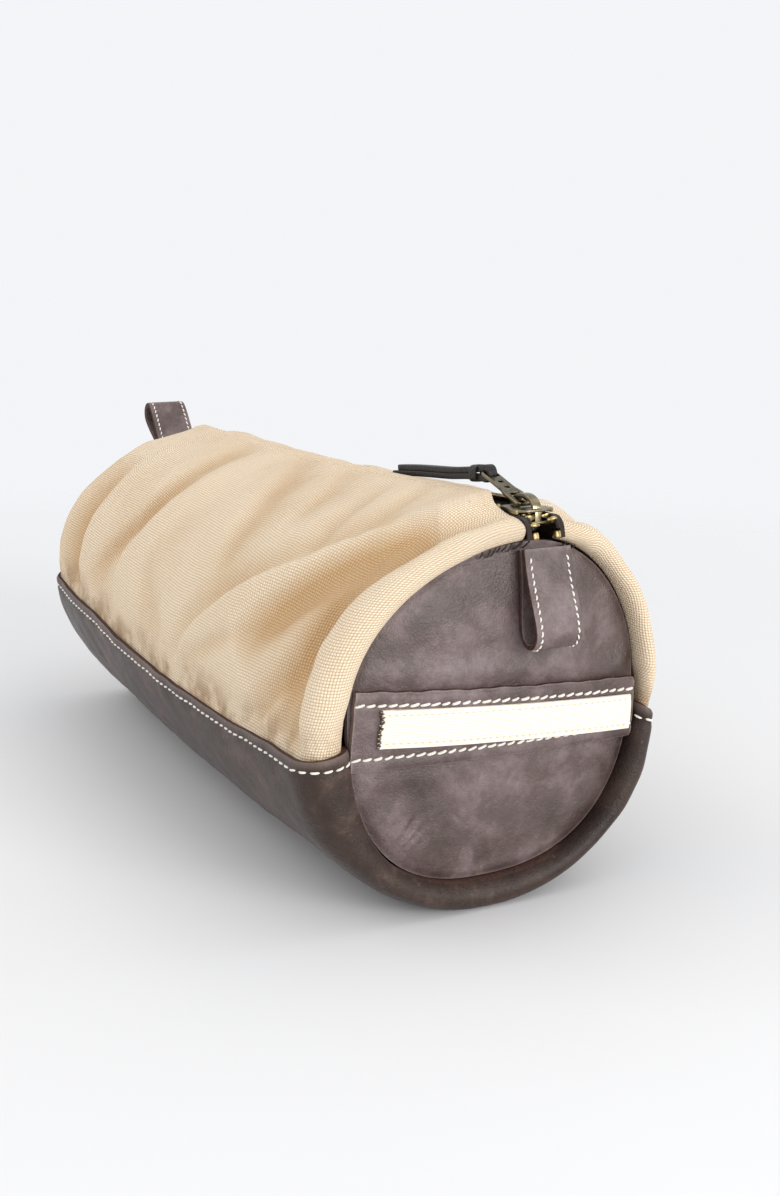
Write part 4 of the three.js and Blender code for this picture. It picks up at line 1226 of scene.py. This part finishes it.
def pull_tab():
    wide, narrow = PULLER_HALF
    neck = [(EYE[1] + 0.5, wide), (EYE[1] + 4, narrow)]
    side = [(-0.7, wide - 1.1), (0.4, wide), *neck, (PULLER_LENGTH, narrow)]
    outline = rounded(mirrored(side), 1.1)
    holes = []
    for (x0, x1), half_width in ((EYE, EYE_HALF), (SLOT, SLOT_HALF)):
        holes.append(rounded([(x0, -half_width), (x1, -half_width), (x1, half_width), (x0, half_width)], 0.8))
    for x in PULLER_HOLES:
        holes.append(circle(x, 0, PULLER_HOLE_RADIUS))
    points, faces = plate([outline, *holes], PULLER_THICK, 0.3)
    at = turned(TO_PULLER, PULLER_AT)
    make("pull_tab", points, faces, BLACKENED, "puller", ("puller",), at=at)


def thong():
    """A strap doubled round the puller's end bar, held by a wrap of the same leather."""
    radius = THONG_EYE + THONG_LEAF / 2
    tip = THONG_LENGTH - 0.8
    run = np.linspace(tip, 3.5, 44)
    height = 1.1 + 0.45 * np.exp(-((run - 3) / 6) ** 2)
    sway = 0.35 * np.sin(run / 13 + 0.4) * smooth((run - 12) / 16)
    bend = np.linspace(np.pi * 0.42, np.pi * 1.58, 20)
    upper = np.stack([run, 0.1 * np.sin(run / 17), height + sway], -1)
    loop = np.stack([radius * np.cos(bend), 0 * bend, radius * np.sin(bend)], -1)
    lower_run = run[::-1][:-3]
    lower_height = (-height + sway)[::-1][:-3]
    lower = np.stack([lower_run, 0.1 * np.sin(lower_run / 17), lower_height], -1)
    line = np.concatenate([upper, loop, lower])
    width = THONG_WIDTH * (1 - 0.12 * smooth((line[:, 0] - 50) / 20))
    points, faces = strap(line, (0, 1, 0), width, 2.25, 0.3)
    at = turned(TO_THONG, THONG_AT)
    make("thong", points, faces, THONG_LEATHER, "thong", ("pull_thong",), at=at)
    around = np.linspace(0, 2 * np.pi, 37)[:-1]
    a, b = np.cos(around), np.sin(around)
    ring_y = np.sign(a) * np.abs(a) ** 0.5 * (THONG_WIDTH / 2 + 0.45)
    ring_z = np.sign(b) * np.abs(b) ** 0.5 * 2.7
    line = np.stack([np.full_like(around, 7.2) + 0.4 * b, ring_y, ring_z], -1)
    points, faces = strap(line, (1, 0, 0), 4.6, 0.8, 0.35, closed=True, count=12)
    make("thong_wrap", points, faces, THONG_LEATHER, "thong", at=at)


# ---------------------------------------------------------------- tab loops


def bezier(p0, p1, p2, p3, steps):
    t = np.linspace(0, 1, steps)[:, None]
    p0, p1, p2, p3 = (np.array(p, float) for p in (p0, p1, p2, p3))
    return (1 - t) ** 3 * p0 + 3 * t * (1 - t) ** 2 * p1 + 3 * t * t * (1 - t) * p2 + t**3 * p3


def tab_loop(tab):
    side, name = tab["side"], tab["name"]
    root, belly = TAB_LEATHER / 2 + 0.25, TAB_BELLY / 2 - TAB_LEATHER / 2
    middle = TAB_BELLY / 2 - TAB_LENGTH
    shoulders = (TAB_LENGTH * 0.4, TAB_LENGTH * 0.6)
    outer = bezier((root, 0), (root, -shoulders[0]), (belly, -shoulders[1]), (belly, middle), 30)
    bend = np.linspace(0, np.pi, 25)[1:-1]
    bottom = np.stack([belly * np.cos(bend), middle - belly * 1.02 * np.sin(bend)], -1)
    inner = outer[::-1] * np.array([-1, 1])
    line2 = np.concatenate([outer, bottom, inner])
    if tab["stub"]:
        line2 = np.concatenate([[(root, tab["stub"])], line2, [(-root, tab["stub"])]])
    line = np.stack([line2[:, 0] * side, np.zeros(len(line2)), line2[:, 1]], -1)
    at_root = panel_surface_at(side, np.array(tab["y"]), np.array(tab["z"]), tab["out"])
    place = turned(turn_y(-side * math.radians(tab["turn"])), at_root)
    run = run_along(line, 0)
    width = TAB_WIDTH - 0.5 + 0.25 * np.sin(run / 9)
    points, faces = strap(line, (0, 1, 0), width, TAB_LEATHER, 0.22, count=32)
    body = "tab_" + name
    node = "tab_loop_" + name
    loop = make("tab_" + name, points, faces, END_LEATHER, body, (node,), at=place)
    raw_faces(loop, lambda normal: abs(normal.y) > 0.55)
    ahead = unit(np.gradient(line, axis=0))
    out = unit(np.cross(np.array([0.0, 1.0, 0.0]), ahead))
    middle_line = np.stack([np.zeros(1), np.zeros(1), np.full(1, middle)], -1)
    flip = np.sign(np.sum(out * (line - middle_line), -1, keepdims=True))
    out = out * np.where(flip == 0, 1, flip)
    face = line + out * (TAB_LEATHER / 2 + 0.02)
    inset = TAB_WIDTH / 2 - TAB_SEAM_FROM_EDGE
    for hand, edge_name in ((1, "back"), (-1, "front")):
        keep = slice(2, len(line) - 2)
        row = face[keep] + np.array([0, hand * inset, 0])
        row_name, slant = f"tab_stitches_{edge_name}_{name}", 14 * hand
        stitch = (WHITE_THREAD, TAB_STITCH, slant)
        run_of_stitches(row_name, row, out[keep], *stitch, body=body, slot="end_leather", at=place)


def whip_stitches(name, side, angles):
    """Dark stitches over the seam between the canvas and the end panel."""
    draw = random.Random(side * 5)
    parts = []
    for angle in angles:
        angle = angle + draw.uniform(-0.012, 0.012)
        start_place = 0.14 if side > 0 else 2.86
        start = surface_point(start_place, angle) - surface_normal(start_place, angle) * 0.1
        reach = draw.uniform(1.0, 1.8)
        share_angle = angle + draw.uniform(0.005, 0.02)
        edge_y, edge_z = panel_edge(side, share_angle)
        length = math.hypot(edge_y, edge_z)
        inside = 1 - reach / length
        y, z = edge_y * inside, edge_z * inside + PANEL_MIDDLE
        end = panel_surface_at(side, np.array(y), np.array(z), 0.2)
        t = np.linspace(0, 1, 7)[:, None]
        line = lerp(start, end, t) + np.array([side * 0.35, 0, 0]) * np.sin(np.pi * t)
        parts.append(strap(line, (0, -math.sin(angle), math.cos(angle)), 0.7, 0.6, 1.0, count=8))
    points, faces = joined(parts)
    make("whip_stitches_" + name, points, faces, DARK_THREAD, "bag")


# ---------------------------------------------------------------- build

WHIP_ANGLES = np.concatenate([np.linspace(1.62, 1.86, 9), np.linspace(1.25, 1.33, 3)])  # beside the tab

front_canvas = canvas_panel(True)
back_canvas = canvas_panel(False)
trough()
for end_name, end_side in (("right", 1), ("left", -1)):
    end_panel(end_name, end_side)
    end_band(end_name, end_side)
    webbing_strip(end_name, end_side)
    whip_stitches(end_name, end_side, WHIP_ANGLES)
for tape_name, tape_sign in (("front", 1), ("back", -1)):
    zipper_tape(tape_name, tape_sign)
    zipper_teeth(tape_name, tape_sign)
    stop("stop_top_" + tape_name, "top_stop_" + tape_name, STOP_LENGTH / 2,
         *sorted((tape_sign * (ROW_SPREAD + 0.6), tape_sign * (ROW_SPREAD + CORD_OUT))), TOOTH_THICK)
stop("stop_bottom", "bottom_stop", CHAIN_LENGTH - STOP_LENGTH / 2, -CORD_OUT, CORD_OUT, TOOTH_THICK + 2 * GAP)
slider()
pull_tab()
thong()
for tab_spec in (TAB_RIGHT, TAB_LEFT):
    tab_loop(tab_spec)

# ---------------------------------------------------------------- floor, light and camera


def floor():
    mesh = bpy.data.meshes.new("floor")
    count, radius = 96, 6.0
    ring = [(x, y, 0) for x, y in circle(0, 0, radius, count)]
    mesh.from_pydata(ring, [], [list(range(count))])
    mesh.materials.append(pale_floor())
    piece = bpy.data.objects.new("floor", mesh)
    piece.location.z = -0.0001
    bpy.context.scene.collection.objects.link(piece)


def area_light(name, position, target, size, power, colour):
    data = bpy.data.lights.new(name, "AREA")
    data.shape = "RECTANGLE"
    data.size, data.size_y = size
    data.energy = power
    data.color = colour
    lamp = bpy.data.objects.new(name, data)
    lamp.location = position
    lamp.rotation_euler = (Vector(target) - Vector(position)).to_track_quat("-Z", "Y").to_euler()
    bpy.context.scene.collection.objects.link(lamp)


def lights():
    """A bright room, dimmer overhead, with a large window behind the bag and above it."""
    world = bpy.data.worlds.new("studio")
    world.use_nodes = True
    tree = world.node_tree
    direction = tree.nodes.new("ShaderNodeTexCoord")
    parts = tree.nodes.new("ShaderNodeSeparateXYZ")
    ramp = tree.nodes.new("ShaderNodeValToRGB")
    ramp.color_ramp.elements[0].position, ramp.color_ramp.elements[0].color = 0.2, (0.90, 0.91, 0.935, 1)
    ramp.color_ramp.elements[1].position, ramp.color_ramp.elements[1].color = 0.5, (0.87, 0.88, 0.91, 1)
    tree.links.new(direction.outputs["Generated"], parts.inputs[0])
    tree.links.new(parts.outputs[2], ramp.inputs[0])
    tree.links.new(ramp.outputs[0], tree.nodes["Background"].inputs["Color"])
    bpy.context.scene.world = world
    middle = (0, 0, 0.07)
    area_light("window", (0.1, 0.9, 1.3), middle, (0.9, 0.8), 2, (1.0, 0.99, 0.975))
    area_light("side_window", (1.55, 0.35, 0.5), middle, (0.8, 0.8), 15, (1.0, 0.995, 0.99))
    area_light("front_fill", (-0.5, -1.3, 1.2), middle, (1.4, 1.2), 8, (1.0, 0.985, 0.96))


def camera():
    azimuth, elevation, roll = (math.radians(v) for v in (62.3, 13.9, -0.9))
    right = np.array([math.cos(azimuth), math.sin(azimuth), 0])
    level = np.array([-math.sin(azimuth), math.cos(azimuth), 0])
    forward = level * math.cos(elevation) - np.array([0, 0, math.sin(elevation)])
    up = np.cross(right, forward)
    rolled_right = right * math.cos(roll) - up * math.sin(roll)
    rolled_up = up * math.cos(roll) + right * math.sin(roll)
    data = bpy.data.cameras.new("camera")
    data.sensor_width = 36
    data.lens = 48.9
    data.clip_start, data.clip_end = 0.02, 30
    eye = bpy.data.objects.new("camera", data)
    axes = Matrix([rolled_right.tolist(), rolled_up.tolist(), (-forward).tolist()]).transposed()
    eye.matrix_world = Matrix.Translation(to_row([600.4, -277.2, 241.5]).tolist()) @ axes.to_4x4()
    bpy.context.scene.collection.objects.link(eye)
    bpy.context.scene.camera = eye


floor()
lights()
camera()
bpy.context.scene.view_settings.view_transform = "Standard"
